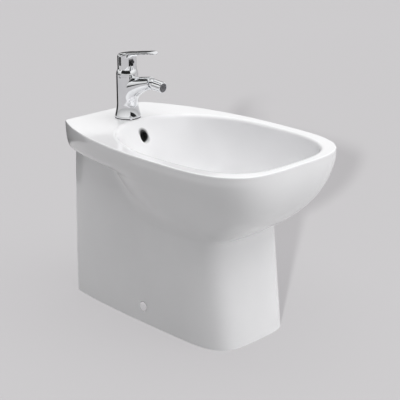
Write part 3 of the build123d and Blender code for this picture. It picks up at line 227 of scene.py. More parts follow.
class Sheets:
    """Patches of one piece, each a grid of points in rows and columns; shared edges merge in make_piece."""

    def __init__(self):
        self.points, self.faces, self.count = [], [], 0

    def add(self, grid, ring=False, windows=()):
        """Adds a grid; ring joins its last column to its first, windows are blocks of cells left open."""
        rows, columns = grid.shape[:2]
        index = self.count + np.arange(rows * columns).reshape(rows, columns)
        if ring:
            index = np.hstack([index, index[:, :1]])
        quads = np.stack([index[:-1, :-1], index[:-1, 1:], index[1:, 1:], index[1:, :-1]], axis=-1)
        keep = np.ones(quads.shape[:2], bool)
        for row, column in windows:
            keep[row:row + BLOCK, column:column + BLOCK] = False
        self.faces.append(quads[keep])
        self.points.append(grid.reshape(-1, 3))
        self.count += rows * columns
        return self


def window_loop(grid, row, column):
    """Grid points round an open block of cells, in order."""
    end_row, end_column = row + BLOCK, column + BLOCK
    return np.vstack([grid[row, column:end_column], grid[row:end_row, end_column],
                      grid[end_row, end_column:column:-1], grid[end_row:row:-1, column]])


def hole_rings(loop, axes, centre, radius, settle, steps=6):
    """Rings from a loop to a circle: loop + (circle - loop) s, laid on the surface by settle."""
    flat = loop[:, axes] - centre
    angle = np.unwrap(np.arctan2(flat[:, 1], flat[:, 0]))
    eighth = np.pi / 4
    start = np.round(angle[0] / eighth) * eighth
    even = start + np.sign(angle[-1] - angle[0]) * 2 * np.pi * np.arange(len(loop)) / len(loop)
    circle = radius * np.stack([np.cos(even), np.sin(even)], axis=-1)
    share = np.linspace(0, 1, steps + 1)[:, None, None]
    grid = np.repeat(loop[None], steps + 1, axis=0)
    grid[..., axes] = centre + flat + (circle - flat) * share
    grid[1:] = settle(grid[1:])
    return grid, even


def round_ring(even, axes, centre, radius, settle, template):
    """One ring of a circle laid on the surface by settle."""
    ring = template.copy()
    ring[:, axes] = centre + radius * np.stack([np.cos(even), np.sin(even)], axis=-1)
    return settle(ring)


def blind_hole(sheets, grid, row, column, axes, centre, radius, lip, settle, inward, depth_plane):
    """Hole with a rolled lip, a straight side down to a plane across it, and a flat bottom."""
    centre = np.array(centre)
    patch, even = hole_rings(window_loop(grid, row, column), axes, centre, radius + lip, settle)
    sheets.add(patch, ring=True)
    outer_ring = patch[-1]
    corner = round_ring(even, axes, centre, radius, settle, outer_ring)
    sheets.add(curve(outer_ring, corner, corner + lip * np.array(inward), 5), ring=True)
    axis = int(np.argmax(np.abs(inward)))
    low = corner.copy()
    low[:, axis] = depth_plane
    middle = np.repeat(low.mean(axis=0)[None], len(low), axis=0)
    side = corner + lip * np.array(inward)
    sheets.add(np.stack([side, (side + low) / 2, low, low + (middle - low) / 2, middle]), ring=True)


def on_pedestal(side):
    """Lays points on the pedestal's side: x = half (1 - ((y - middle) / rear)^n)^(1/n)."""
    def settle(points):
        half, _, _, rear, power = np.moveaxis(pedestal(points[..., 2]), -1, 0)
        share = 1 - ((points[..., 1] - MID_Y) / rear) ** power
        return np.stack([side * half * share ** (1 / power), points[..., 1], points[..., 2]], axis=-1)
    return settle


def on_basin_back(points):
    """Lays points on the basin's rear wall: y = middle + rear sqrt(1 - (x / half)^2)."""
    outline, middle = basin_outline((RIM_Z - points[..., 2]) / BASIN_DEPTH)
    y = middle + outline[..., 3] * np.sqrt(1 - (points[..., 0] / outline[..., 0]) ** 2)
    return np.stack([points[..., 0], y, points[..., 2]], axis=-1)


def on_deck(points):
    """Lays points on the flat top of the deck."""
    return np.stack([points[..., 0], points[..., 1], RIM_Z + 0 * points[..., 0]], axis=-1)


def on_ceiling(points):
    """Lays points on the underside over the pedestal's room."""
    return np.stack([points[..., 0], points[..., 1], ceiling(points[..., 0], points[..., 1])], axis=-1)


def moved_in(loop, distance):
    """Clockwise flat loop moved inward by a distance along its own normals."""
    ahead = np.roll(loop, -1, axis=0) - np.roll(loop, 1, axis=0)
    inward = np.stack([ahead[:, 1], -ahead[:, 0], 0 * ahead[:, 0]], axis=-1)
    return loop + distance * inward / np.linalg.norm(inward, axis=1, keepdims=True)


def outside_grid():
    """Outer skin from the floor to the rolled rim edge, with a small glaze fillet along the seam."""
    low = np.concatenate([[0], np.arange(2, 81, 6), np.linspace(84, 205, 13), np.linspace(209, SEAM_Z - SEAM_FILLET, 30)])
    rise = RIM_Z - SEAM_Z
    turn_under_deck = np.arccos((RIM_Z - UNDER_DECK) / rise)
    turn_top = np.arccos(EDGE_ROLL / rise)
    turns = np.concatenate([np.linspace(0.05, turn_under_deck, 24), np.linspace(turn_under_deck, turn_top, 8)[1:]])
    high = RIM_Z - rise * np.cos(turns)
    below, above = skin_rows(low), skin_rows(high)
    at_seam = skin_rows([SEAM_Z])[0]
    fillet = curve(below[-1], at_seam, above[0], 6)[1:-1]
    return np.concatenate([below, fillet, above]), len(low), len(low) + len(fillet) + 23


def china_pan():
    """Glazed china in one closed skin: outside, rolled rim, deck, basin, waste seat, underside and inner walls."""
    sheets = Sheets()
    skin, _, deck_row = outside_grid()
    heights = skin[:, 0, 2]
    fix_row = 2
    fix_column = int(np.argmin(np.abs(skin[7, :SIDE_COLUMNS // 2, 1] - FIX_Y)))
    columns = skin.shape[1]
    windows = [(fix_row, fix_column - BLOCK // 2), (fix_row, columns - 1 - fix_column - BLOCK // 2)]
    sheets.add(skin, windows=windows)
    fix_outer = on_pedestal(1)(np.array([0.0, FIX_Y, FIX_Z]))[0]
    for (row, column), side in zip(windows, (1, -1)):
        blind_hole(sheets, skin, row, column, [1, 2], (FIX_Y, FIX_Z), FIX_RADIUS, FIX_LIP,
                   on_pedestal(side), (-side, 0, 0), side * (fix_outer - FIX_DEPTH))

    # Inner wall, with its top on the underside of the basin
    wall_share = np.linspace(1, -1, columns + 2 * STRIP_COLUMNS)

    def wall_at(z):
        return inner_point(z, wall_share * angle_at(inner_point, z, BACK_Y))

    low, high = np.full(wall_share.shape, BOWL_LOW_Z), np.full(wall_share.shape, UNDER_DECK)
    for _ in range(30):
        middle = (low + high) / 2
        inside = inside_shell(*wall_at(middle), middle)
        low, high = np.where(inside, low, middle), np.where(inside, middle, high)
    wall_z = heights[:deck_row + 1, None] * high / UNDER_DECK
    wall_x, wall_y = wall_at(wall_z)
    wall = np.stack([wall_x, wall_y, wall_z], axis=-1)
    sheets.add(wall)

    # Rear ends of the walls, and the sole
    strip_share = np.linspace(0, 1, STRIP_COLUMNS + 1)[None, :, None]
    right = skin[:deck_row + 1, :1] + (wall[:, :1] - skin[:deck_row + 1, :1]) * strip_share
    left = skin[:deck_row + 1, -1:] + (wall[:, -1:] - skin[:deck_row + 1, -1:]) * strip_share
    sheets.add(right).add(left)
    sole = np.vstack([right[0, :0:-1], skin[0], left[0, 1:]])
    sheets.add(np.stack([sole, wall[0]]))

    # Rear face of the deck
    steps = np.arange(2 * STRIP_COLUMNS + BACK_COLUMNS + 1)
    knots = [0, STRIP_COLUMNS, STRIP_COLUMNS + BACK_COLUMNS, steps[-1]]
    outer_part, inner_part = np.interp(steps, knots, [-1, 0, 0, 1]), np.interp(steps, knots, [0, -1, 1, 0])
    inner_x = wall[-1, 0, 0]
    back_x = skin[deck_row:, :1, 0] * outer_part + inner_x * inner_part
    back = np.stack([back_x, BACK_Y + 0 * back_x, skin[deck_row:, :1, 2] + 0 * back_x], axis=-1)
    sheets.add(back)

    # Rim edge, deck, basin and waste seat in closed rings
    edge = np.vstack([skin[-1], back[-1, 1:-1]])
    top_skin = skin_rows([RIM_Z])[0]
    top_x = top_skin[0, 0] * outer_part[1:-1] + inner_x * inner_part[1:-1]
    top = np.vstack([top_skin, np.stack([top_x, BACK_Y + 0 * top_x, RIM_Z + 0 * top_x], axis=-1)])
    deck_edge = moved_in(top, EDGE_ROLL)
    angles = np.arctan2(deck_edge[:, 0], MID_Y - deck_edge[:, 1])
    rear_share = np.clip((-np.cos(angles) - 0.8) / 0.2, 0, 1)
    roll = RIM_ROLL + (RIM_ROLL_REAR - RIM_ROLL) * rear_share ** 2 * (3 - 2 * rear_share)
    lip_start = basin_rows([0], angles, roll)[0]
    lip_corner = basin_rows([0], angles)[0]
    lip_end = basin_rows([RIM_ROLL / BASIN_DEPTH], angles)[0]
    share = np.linspace(0, 1, 2 * BLOCK + 1)[1:-1, None, None]
    start = np.arcsin(RIM_ROLL / BASIN_DEPTH) * 2 / np.pi
    depths = np.sin(np.pi / 2 * np.linspace(start, 1, 50)[1:])
    floor_z = RIM_Z - BASIN_DEPTH
    seat = rings([(RECESS_RADIUS + 0.8, floor_z), (RECESS_RADIUS, floor_z - 0.8), (RECESS_RADIUS, floor_z - RECESS_DEPTH),
                  (WASTE_HOLE, floor_z - RECESS_DEPTH), (WASTE_HOLE, floor_z - BOSS_DEPTH)], angles)
    wall_loop = np.vstack([wall[-1], back[0, STRIP_COLUMNS + 1:STRIP_COLUMNS + BACK_COLUMNS]])
    under_angles = np.arctan2(wall_loop[:, 0], WASTE_Y - wall_loop[:, 1])
    boss = rings([(BOSS_RADIUS, floor_z - BOSS_DEPTH), (BOSS_RADIUS, floor_z - WALL)], under_angles)
    inside = np.concatenate([curve(edge, top, deck_edge, 6), deck_edge + (lip_start - deck_edge) * share,
                             curve(lip_start, lip_corner, lip_end, 8), basin_rows(depths, angles), seat, boss])
    centre_column = columns - 1 + len(steps) // 2 - BLOCK // 2
    deck_window = (6 + BLOCK, centre_column)
    near_overflow = np.argmin(np.abs(inside[:60, centre_column, 2] - OVERFLOW_Z - 18))
    overflow_window = (int(near_overflow), centre_column)
    sheets.add(inside, ring=True, windows=[deck_window, overflow_window])
    hole = [0, 1], np.array([0.0, MIXER_Y]), MIXER_HOLE
    sheets.add(hole_rings(window_loop(inside, *deck_window), *hole, on_deck)[0], ring=True)
    overflow_back = on_basin_back(np.array([0.0, 0.0, OVERFLOW_Z]))[1] + OVERFLOW_DEPTH
    blind_hole(sheets, inside, *overflow_window, [0, 2], (0, OVERFLOW_Z), OVERFLOW_RADIUS, OVERFLOW_LIP,
               on_basin_back, (0, 1, 0), overflow_back)

    # Underside, and the wall of the mixer's hole
    share = np.linspace(0, 1, 25)[1:-1, None, None]
    under = on_ceiling(wall_loop + (boss[-1] - wall_loop) * share)
    under = np.concatenate([wall_loop[None], under, boss[-1:]])
    under_window = (4, columns + 2 * STRIP_COLUMNS - 1 + BACK_COLUMNS // 2 - BLOCK // 2)
    sheets.add(under, ring=True, windows=[under_window])
    sheets.add(hole_rings(window_loop(under, *under_window), *hole, on_ceiling)[0], ring=True)
    even = np.arange(4 * BLOCK) * 2 * np.pi / (4 * BLOCK)
    tube = np.stack([MIXER_HOLE * np.cos(even), MIXER_Y + MIXER_HOLE * np.sin(even)], axis=-1)
    heights = np.array([RIM_Z, UNDER_DECK])[:, None, None]
    sheets.add(np.concatenate([np.stack([tube, tube]), heights + 0 * tube[None, :, :1]], axis=-1), ring=True)

    # Overflow duct behind the basin: a straight tube whose near side stays halfway into the basin's wall
    begin = np.array([0, overflow_back, OVERFLOW_Z])
    along = (np.array([0, WASTE_Y + WASTE_HOLE, DUCT_END_Z]) - begin) * DUCT_SHARE
    heights = np.linalg.norm(along) * np.linspace(0, 1, 41)
    duct = turned([(0, -WALL), (DUCT_RADIUS, -WALL), *[(DUCT_RADIUS, height) for height in heights],
                   (0, heights[-1])], 32)
    duct = placed(duct, begin, along)
    away = np.array([0, -along[2], along[1]]) / np.linalg.norm(along)
    low, high = np.zeros(duct.shape[:2]), np.full(duct.shape[:2], 4 * DUCT_RADIUS)
    for _ in range(30):
        middle = (low + high) / 2
        inside = inside_shell(*np.moveaxis(duct + middle[..., None] * away, -1, 0), WALL / 2)
        low, high = np.where(inside, middle, low), np.where(inside, high, middle)
    duct = duct + high[..., None] * away
    duct[..., 1] = np.where(duct[..., 2] > OVERFLOW_Z - DUCT_RADIUS, np.maximum(duct[..., 1], overflow_back + 1),
                            duct[..., 1])
    sheets.add(duct, ring=True)
    return sheets


def turned(profile, sides=72):
    """Surface of revolution: each (radius, height) of the profile turned to (r cos a, r sin a, h)."""
    radius, height = np.array(profile, float).T[..., None]
    angle = np.linspace(0, 2 * np.pi, sides, endpoint=False)
    return np.stack([radius * np.cos(angle), radius * np.sin(angle), height + 0 * angle], axis=-1)


def placed(grid, origin, along):
    """Grid turned so that its Z runs along a direction in the plane x = 0, and moved to an origin."""
    along = np.asarray(along, float) / np.linalg.norm(along)
    across = np.array([1.0, 0, 0])
    return grid @ np.stack([across, np.cross(along, across), along]) + np.asarray(origin, float)


def eased(corners, size, steps=4):
    """Line whose inner corners become short curves that start and end a given distance from them."""
    corners = np.array(corners, float)
    at = corners[1:-1]
    back, ahead = corners[:-2] - at, corners[2:] - at
    back_length = np.linalg.norm(back, axis=1, keepdims=True)
    ahead_length = np.linalg.norm(ahead, axis=1, keepdims=True)
    reach = np.broadcast_to(np.asarray(size, float).reshape(-1, 1), (len(at), 1))
    first = at + back / back_length * np.minimum(reach, back_length / 2)
    last = at + ahead / ahead_length * np.minimum(reach, ahead_length / 2)
    rows = np.moveaxis(curve(first, at, last, steps), 0, 1).reshape(-1, 2)
    return np.vstack([corners[:1], rows, corners[-1:]])


# Mixer sizes, heights from the deck
DECK_AT = np.array([0.0, MIXER_Y, RIM_Z])
COLUMN_RADIUS, BASE_RADIUS, COLUMN_HEIGHT = 23.0, 28.0, 91.5
GASKET, BASE_EDGE, FLARE_HEIGHT = 1.5, 4.0, 30.0
SPOUT_REACH, SPOUT_END_HEIGHT, SPOUT_RISE, SPOUT_END = 71.0, 85.0, np.radians(10), 13.3
ROOT_Y, ROOT_HALF_HEIGHT, ROOT_HALF_WIDTH, ROOT_SWELL = -10.0, 27.0, 18.0, 1.6
PIVOT_HEIGHT = 93.0
SOCKET_RADIUS, SOCKET_DEPTH = 11.5, 9.0
LEVER_RADIUS, LEVER_REACH, LEVER_TOP, LEVER_RISE = 20.0, 91.0, 136.5, np.tan(np.radians(9.6))
TONGUE_ROOT, TONGUE_TIP, PLATE, DROOP, DROOP_FROM = 15.5, 12.5, 4.5, 4.5, -71.0
THROAT, BACK_EDGE, TONGUE_EDGE, BARREL_LOW = 6.0, 7.0, 1.6, 105.0


def spout_point(share, angle):
    """Point of the spout: ellipses from the round end to the root, with half height 13.3 + 13.7 s^1.6."""
    half_height = SPOUT_END + (ROOT_HALF_HEIGHT - SPOUT_END) * share ** ROOT_SWELL
    half_width = SPOUT_END + (ROOT_HALF_WIDTH - SPOUT_END) * share
    back = (SPOUT_REACH + ROOT_Y) * share
    height = SPOUT_END_HEIGHT - back * np.tan(SPOUT_RISE) - (half_height - SPOUT_END)
    rise = half_height * np.sin(angle)
    return np.stack([half_width * np.cos(angle), back - SPOUT_REACH + rise * np.sin(SPOUT_RISE),
                     height + rise * np.cos(SPOUT_RISE)], axis=-1)


def mixer_body():
    """Column turned on its axis, and the spout's skin, which lands on the column along a hollow curve."""
    sheets = Sheets()
    rise = np.linspace(0, 1, 14)
    flare = np.stack([COLUMN_RADIUS + (BASE_RADIUS - COLUMN_RADIUS) * (1 - rise) ** 1.7,
                      BASE_EDGE + (FLARE_HEIGHT - BASE_EDGE) * rise], axis=-1)
    foot = eased([(0, GASKET), (BASE_RADIUS - 0.4, GASKET), (BASE_RADIUS, GASKET + 0.5), tuple(flare[0])], 0.3)
    top = eased([tuple(flare[-1]), (COLUMN_RADIUS, COLUMN_HEIGHT), (0, COLUMN_HEIGHT)], 0.5)
    sheets.add(turned(np.vstack([foot[:-1], flare[:-1], top]), 96) + DECK_AT, ring=True)

    angle = np.linspace(0, 2 * np.pi, 96, endpoint=False)
    low, high = np.zeros(angle.shape), np.ones(angle.shape)
    for _ in range(30):
        middle = (low + high) / 2
        x, y, _ = np.moveaxis(spout_point(middle, angle), -1, 0)
        outside = np.hypot(x, y) > COLUMN_RADIUS
        low, high = np.where(outside, middle, low), np.where(outside, high, middle)
    hit = spout_point(high, angle)
    under = (1 - np.sin(angle)) / 2
    reach = 0.6 + 17 * under ** 1.5
    length = SPOUT_REACH + ROOT_Y
    leave = np.maximum(high - 0.8 * reach / length, 0.12)
    around = np.arctan2(hit[:, 0], -hit[:, 1])
    outward = np.stack([COLUMN_RADIUS * around, hit[:, 2] - 68], axis=-1)
    outward /= np.linalg.norm(outward, axis=1, keepdims=True)
    land_around = around + reach * outward[:, 0] / COLUMN_RADIUS
    land_z = np.minimum(hit[:, 2] + reach * outward[:, 1], COLUMN_HEIGHT - 0.6)
    land = np.stack([COLUMN_RADIUS * np.sin(land_around), -COLUMN_RADIUS * np.cos(land_around), land_z], axis=-1)
    share = np.linspace(0, 1, 22)[:, None]
    run = spout_point(leave * share, angle)
    sink = land * np.array([0.9, 0.9, 1])
    skin = np.concatenate([run[:-1], curve(run[-1], hit, land, 14), sink[None], 0 * sink[None] + sink.mean(axis=0)])
    end = placed(turned(eased([(SPOUT_END, 0.0), (SPOUT_END, 0.6), (SOCKET_RADIUS, 0.6), (SOCKET_RADIUS, -SOCKET_DEPTH),
                               (0, -SOCKET_DEPTH)], 0.5, 3), 96),
                 (0, -SPOUT_REACH, SPOUT_END_HEIGHT), (0, -np.cos(SPOUT_RISE), np.sin(SPOUT_RISE)))
    end = np.roll(end[:, ::1], 0, axis=1)
    sheets.add(skin + DECK_AT, ring=True)
    sheets.add(end[1:] + DECK_AT, ring=True)
    joint = np.stack([end[1], run[0]])
    sheets.add(joint + DECK_AT, ring=True)
    return sheets


def lever_top(y):
    """Height of the lever's top line: straight and rising to the front, then drooping by a square law."""
    droop = np.clip((DROOP_FROM - y) / (LEVER_REACH + DROOP_FROM), 0, None)
    return LEVER_TOP + (LEVER_RADIUS - y) * LEVER_RISE - DROOP * droop ** 2


def lever_plan():
    """Plan outline of the lever as (x, y) and the spine point that each outline point is measured from."""
    turn = np.linspace(-np.pi / 2, np.pi / 2, 41)
    back = LEVER_RADIUS * np.stack([np.sin(turn), np.cos(turn)], axis=-1)
    tip_y = TONGUE_TIP - LEVER_REACH
    run = np.linspace(0, 1, 34)[1:-1] ** 1.3 * tip_y
    circle = np.sqrt(np.maximum(LEVER_RADIUS ** 2 - run ** 2, 0))
    tongue = TONGUE_ROOT + (TONGUE_TIP - TONGUE_ROOT) * run / tip_y
    near = np.clip(1 - np.abs(circle - tongue) / 4, 0, 1)
    half = np.maximum(circle, tongue) + near ** 2
    side = np.stack([half, run], axis=-1)
    tip = np.stack([TONGUE_TIP * np.cos(turn), tip_y - TONGUE_TIP * np.cos(turn - np.pi / 2) * 0], axis=-1)
    swing = np.linspace(0, np.pi, 33)
    tip = np.stack([TONGUE_TIP * np.cos(swing), tip_y - TONGUE_TIP * np.sin(swing)], axis=-1)
    outline = np.vstack([back, side, tip, (side * [-1, 1])[::-1]])
    spine = np.stack([0 * outline[:, 0], np.clip(outline[:, 1], tip_y, 0)], axis=-1)
    return outline, spine


def lever_handle():
    """Plate over its plan outline with rolled edges, and the barrel below it over the dome."""
    sheets = Sheets()
    outline, spine = lever_plan()
    away = outline - spine
    length = np.linalg.norm(away, axis=1)
    way = away / length[:, None]
    front = np.clip(-outline[:, 1] / 30, 0, 1)
    edge = BACK_EDGE + (TONGUE_EDGE - BACK_EDGE) * front ** 2 * (3 - 2 * front)

    def thickness(y):
        tip = np.clip((DROOP_FROM - y) / (LEVER_REACH + DROOP_FROM), 0, 1)
        near = np.clip(y + LEVER_RADIUS + THROAT, 0, THROAT)
        return PLATE * (1 - 0.4 * tip) + THROAT - np.sqrt(THROAT ** 2 - near ** 2)

    def top_row(distance, drop):
        flat = spine + way * distance[:, None]
        return np.concatenate([flat, (lever_top(flat[:, 1]) - drop)[:, None]], axis=1)

    def low_row(distance, lift):
        flat = spine + way * distance[:, None]
        return np.concatenate([flat, (lever_top(flat[:, 1]) - thickness(flat[:, 1]) + lift)[:, None]], axis=1)

    rows = [top_row((length - edge) * share, 0.012 * length * (1 - share ** 2) * 0) for share in np.linspace(0, 1, 6)]
    rows += [top_row(length - edge + edge * np.sin(turn), edge * (1 - np.cos(turn)))
             for turn in np.linspace(0, np.pi / 2, 8)[1:]]
    under = 0.9
    deep = np.maximum(thickness(outline[:, 1]), edge + 1.5)
    side_top, side_low = rows[-1], top_row(length, deep - under)
    rows += [side_top + (side_low - side_top) * share for share in (0.35, 0.7, 1.0)]
    rows += [top_row(length - under * np.sin(turn), deep - under + under * (1 - np.cos(turn)) * 0 + under * np.sin(turn))
             for turn in np.linspace(0, np.pi / 2, 4)[1:]]
    last = length - under
    rows += [low_row(last * share, 0 * length) for share in np.linspace(1, 0, 6)[1:]]
    sheets.add(np.stack(rows) + DECK_AT, ring=True)

    angle = np.linspace(0, 2 * np.pi, 72, endpoint=False)
    radius = LEVER_RADIUS - 0.03
    ring = np.stack([radius * np.sin(angle), radius * np.cos(angle)], axis=-1)
    low = np.array([(0.0, BARREL_LOW + 3), (0.86, BARREL_LOW + 3), (0.97, BARREL_LOW), (0.99, BARREL_LOW + 0.1),
                    (1.0, BARREL_LOW + 0.5)])
    barrel = [np.concatenate([ring * part, 0 * ring[:, :1] + height], axis=1) for part, height in low]
    top = lever_top(ring[:, 1]) - BACK_EDGE - 0.4
    barrel += [np.concatenate([ring, (BARREL_LOW + 0.5 + (top - BARREL_LOW - 0.5) * share)[:, None]], axis=1)
               for share in (0.33, 0.66, 1.0)]
    barrel.append(np.concatenate([ring * 0, 0 * ring[:, :1] + top.mean()], axis=1))
    sheets.add(np.stack(barrel) + DECK_AT, ring=True)
    return sheets


# Materials


def finish(name):
    """New node material: its node tree, its Principled shader and a way to add nodes."""
    material = bpy.data.materials.new(name)
    material.use_nodes = True
    tree = material.node_tree
    return material, tree, tree.nodes["Principled BSDF"]


def set_values(shader, **values):
    """Writes plain values on the shader's own sockets."""
    for name, value in values.items():
        shader.inputs[name.replace("_", " ")].default_value = value


def noise(tree, scale, detail=3.0, roughness=0.5):
    """Noise over Object coordinates."""
    place = tree.nodes.new("ShaderNodeTexCoord")
    texture = tree.nodes.new("ShaderNodeTexNoise")
    texture.inputs["Scale"].default_value = scale
    texture.inputs["Detail"].default_value = detail
    texture.inputs["Roughness"].default_value = roughness
    tree.links.new(place.outputs["Object"], texture.inputs["Vector"])
    return texture.outputs["Fac"]


def ranged(tree, source, low, high):
    """Noise value carried to a range."""
    spread = tree.nodes.new("ShaderNodeMapRange")
    spread.inputs["From Min"].default_value = 0.3
    spread.inputs["From Max"].default_value = 0.7
    spread.inputs["To Min"].default_value = low
    spread.inputs["To Max"].default_value = high
    tree.links.new(source, spread.inputs["Value"])
    return spread.outputs["Result"]


def tinted(tree, shader, source, dark, light):
    """Base colour between two colours by a noise value."""
    ramp = tree.nodes.new("ShaderNodeValToRGB")
    ramp.color_ramp.elements[0].position = 0.3
    ramp.color_ramp.elements[1].position = 0.7
    ramp.color_ramp.elements[0].color = (*dark, 1)
    ramp.color_ramp.elements[1].color = (*light, 1)
    tree.links.new(source, ramp.inputs["Fac"])
    tree.links.new(ramp.outputs["Color"], shader.inputs["Base Color"])


def bumped(tree, shader, source, strength, distance):
    """Fine relief from a noise value."""
    bump = tree.nodes.new("ShaderNodeBump")
    bump.inputs["Strength"].default_value = strength
    bump.inputs["Distance"].default_value = distance
    tree.links.new(source, bump.inputs["Height"])
    tree.links.new(bump.outputs["Normal"], shader.inputs["Normal"])


def painted_hole_shade(tree, shader, centre, near, far, dark):
    """Painted shade: base colour that goes dark close to a point, standing in for the shade deep in a narrow hole."""
    place = tree.nodes.new("ShaderNodeTexCoord")
    reach = tree.nodes.new("ShaderNodeVectorMath")
    reach.operation = "DISTANCE"
    reach.inputs[1].default_value = centre
    tree.links.new(place.outputs["Object"], reach.inputs[0])
    fade = tree.nodes.new("ShaderNodeMapRange")
    fade.inputs["From Min"].default_value = near
    fade.inputs["From Max"].default_value = far
    tree.links.new(reach.outputs["Value"], fade.inputs["Value"])
    blend = tree.nodes.new("ShaderNodeMix")
    blend.data_type = "RGBA"
    blend.inputs["A"].default_value = (*dark, 1)
    tree.links.new(fade.outputs["Result"], blend.inputs["Factor"])
    tree.links.new(shader.inputs["Base Color"].links[0].from_socket, blend.inputs["B"])
    tree.links.new(blend.outputs["Result"], shader.inputs["Base Color"])


def china_glaze():
    """White vitreous glaze: nearly even colour with painted shade deep in the overflow's pocket, a gloss with faint
    changes, and a very low orange-peel relief.
    """
    material, tree, shader = finish("white_glaze")
    tinted(tree, shader, noise(tree, 6), (0.80, 0.80, 0.81), (0.84, 0.84, 0.85))
    pocket_end = on_basin_back(np.array([0.0, 0.0, OVERFLOW_Z]))[1] + OVERFLOW_DEPTH
    # Painted shade: the glaze goes nearly black near the end of the overflow's pocket, in place of the shade deep in
    # the hole.
    painted_hole_shade(tree, shader, (0, pocket_end * MM, OVERFLOW_Z * MM), 0.0165, 0.0205, (0.03, 0.03, 0.03))
    tree.links.new(ranged(tree, noise(tree, 14), 0.10, 0.16), shader.inputs["Roughness"])
    bumped(tree, shader, noise(tree, 90, 1), 0.05, 0.0004)
    set_values(shader, IOR=1.5, Coat_Weight=0.3, Coat_Roughness=0.05)
    return material


def polished_metal(name, dark, light, rough_low, rough_high, relief=0.02):
    """Plated or bare metal with a slight haze and faint polishing marks."""
    material, tree, shader = finish(name)
    tinted(tree, shader, noise(tree, 30), dark, light)
    tree.links.new(ranged(tree, noise(tree, 120), rough_low, rough_high), shader.inputs["Roughness"])
    bumped(tree, shader, noise(tree, 700, 2), relief, 0.00005)
    set_values(shader, Metallic=1.0)
    return material


def moulded(name, dark, light, rough_low, rough_high, grain=900, relief=0.15):
    """Rubber, nylon or plastic with a fine moulded grain."""
    material, tree, shader = finish(name)
    tinted(tree, shader, noise(tree, 60), dark, light)
    tree.links.new(ranged(tree, noise(tree, 200), rough_low, rough_high), shader.inputs["Roughness"])
    bumped(tree, shader, noise(tree, grain, 2), relief, 0.0001)
    return material


GLAZE = china_glaze()
FINISHES = {
    "china": GLAZE,
    "chrome": polished_metal("bright_chrome", (0.80, 0.81, 0.83), (0.86, 0.87, 0.88), 0.04, 0.08),
    "cap_chrome": polished_metal("cap_chrome", (0.84, 0.84, 0.85), (0.90, 0.90, 0.90), 0.08, 0.14),
    "brass": polished_metal("raw_brass", (0.62, 0.44, 0.18), (0.74, 0.55, 0.25), 0.25, 0.4, 0.2),
    "zinc_steel": polished_metal("zinc_steel", (0.42, 0.44, 0.46), (0.60, 0.61, 0.62), 0.3, 0.5, 0.3),
    "rubber": moulded("black_rubber", (0.015, 0.015, 0.016), (0.03, 0.03, 0.03), 0.6, 0.8),
    "nylon": moulded("white_nylon", (0.66, 0.66, 0.64), (0.74, 0.74, 0.72), 0.35, 0.5),
    "dark_plastic": moulded("dark_plastic", (0.03, 0.03, 0.035), (0.06, 0.06, 0.065), 0.35, 0.5),
    "disc_ceramic": moulded("lapped_ceramic", (0.72, 0.71, 0.68), (0.80, 0.79, 0.76), 0.2, 0.3, 1500, 0.05),
}
NODE_FINISHES = {"aerator_insert": moulded("grey_nylon", (0.14, 0.14, 0.15), (0.20, 0.20, 0.21), 0.35, 0.5)}


# Pieces


def make_piece(name, sheets, body, slot, *replaced, sharp=35.0):
    """Mesh from patches: millimetres to metres, shared edges merged, faces turned outward, sharp edges kept."""
    mesh = bpy.data.meshes.new(name)
    mesh.from_pydata((np.vstack(sheets.points) * MM).tolist(), [], np.vstack(sheets.faces).tolist())
    built = bmesh.new()
    built.from_mesh(mesh)
    bmesh.ops.remove_doubles(built, verts=built.verts, dist=2e-6)
    bmesh.ops.recalc_face_normals(built, faces=built.faces)
    built.to_mesh(mesh)
    built.free()
    mesh.polygons.foreach_set("use_smooth", np.ones(len(mesh.polygons), bool))
    mesh.set_sharp_from_angle(angle=np.radians(sharp))
    mesh.materials.append(FINISHES[slot])
    piece = bpy.data.objects.new(name, mesh)
    bpy.context.scene.collection.objects.link(piece)
    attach(piece, body)
    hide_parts(*replaced)
    return piece


make_piece("china_pan", china_pan(), "bidet", "china", *[name for name in nodes if name.startswith("pan_")])
make_piece("mixer_casting", mixer_body(), "bidet", "chrome", "mixer_body")
make_piece("lever_casting", lever_handle(), "lever", "chrome", "lever_handle")


def dress_nodes():
    """CAD pieces that stay: their own or their slot's finish, smooth shading, welded and split again at sharp edges."""
    for row in frame["record"]["subparts"]:
        node = nodes[row["node"]]
        if node.hide_render:
            continue
        mesh = node.data
        mesh.materials.clear()
        mesh.materials.append(NODE_FINISHES.get(row["node"], FINISHES[row["material_slot"]]))
        mesh.polygons.foreach_set("use_smooth", np.ones(len(mesh.polygons), bool))
        weld = node.modifiers.new("weld", "WELD")
        weld.merge_threshold = 1e-6
        split = node.modifiers.new("edges", "EDGE_SPLIT")
        split.split_angle = np.radians(32)


dress_nodes()


# Studio


def mixed(tree, share, first, second):
    """Shader that goes from the first to the second by a share."""
    blend = tree.nodes.new("ShaderNodeMixShader")
    tree.links.new(share, blend.inputs["Fac"])
    tree.links.new(first, blend.inputs[1])
    tree.links.new(second, blend.inputs[2])
    return blend.outputs["Shader"]


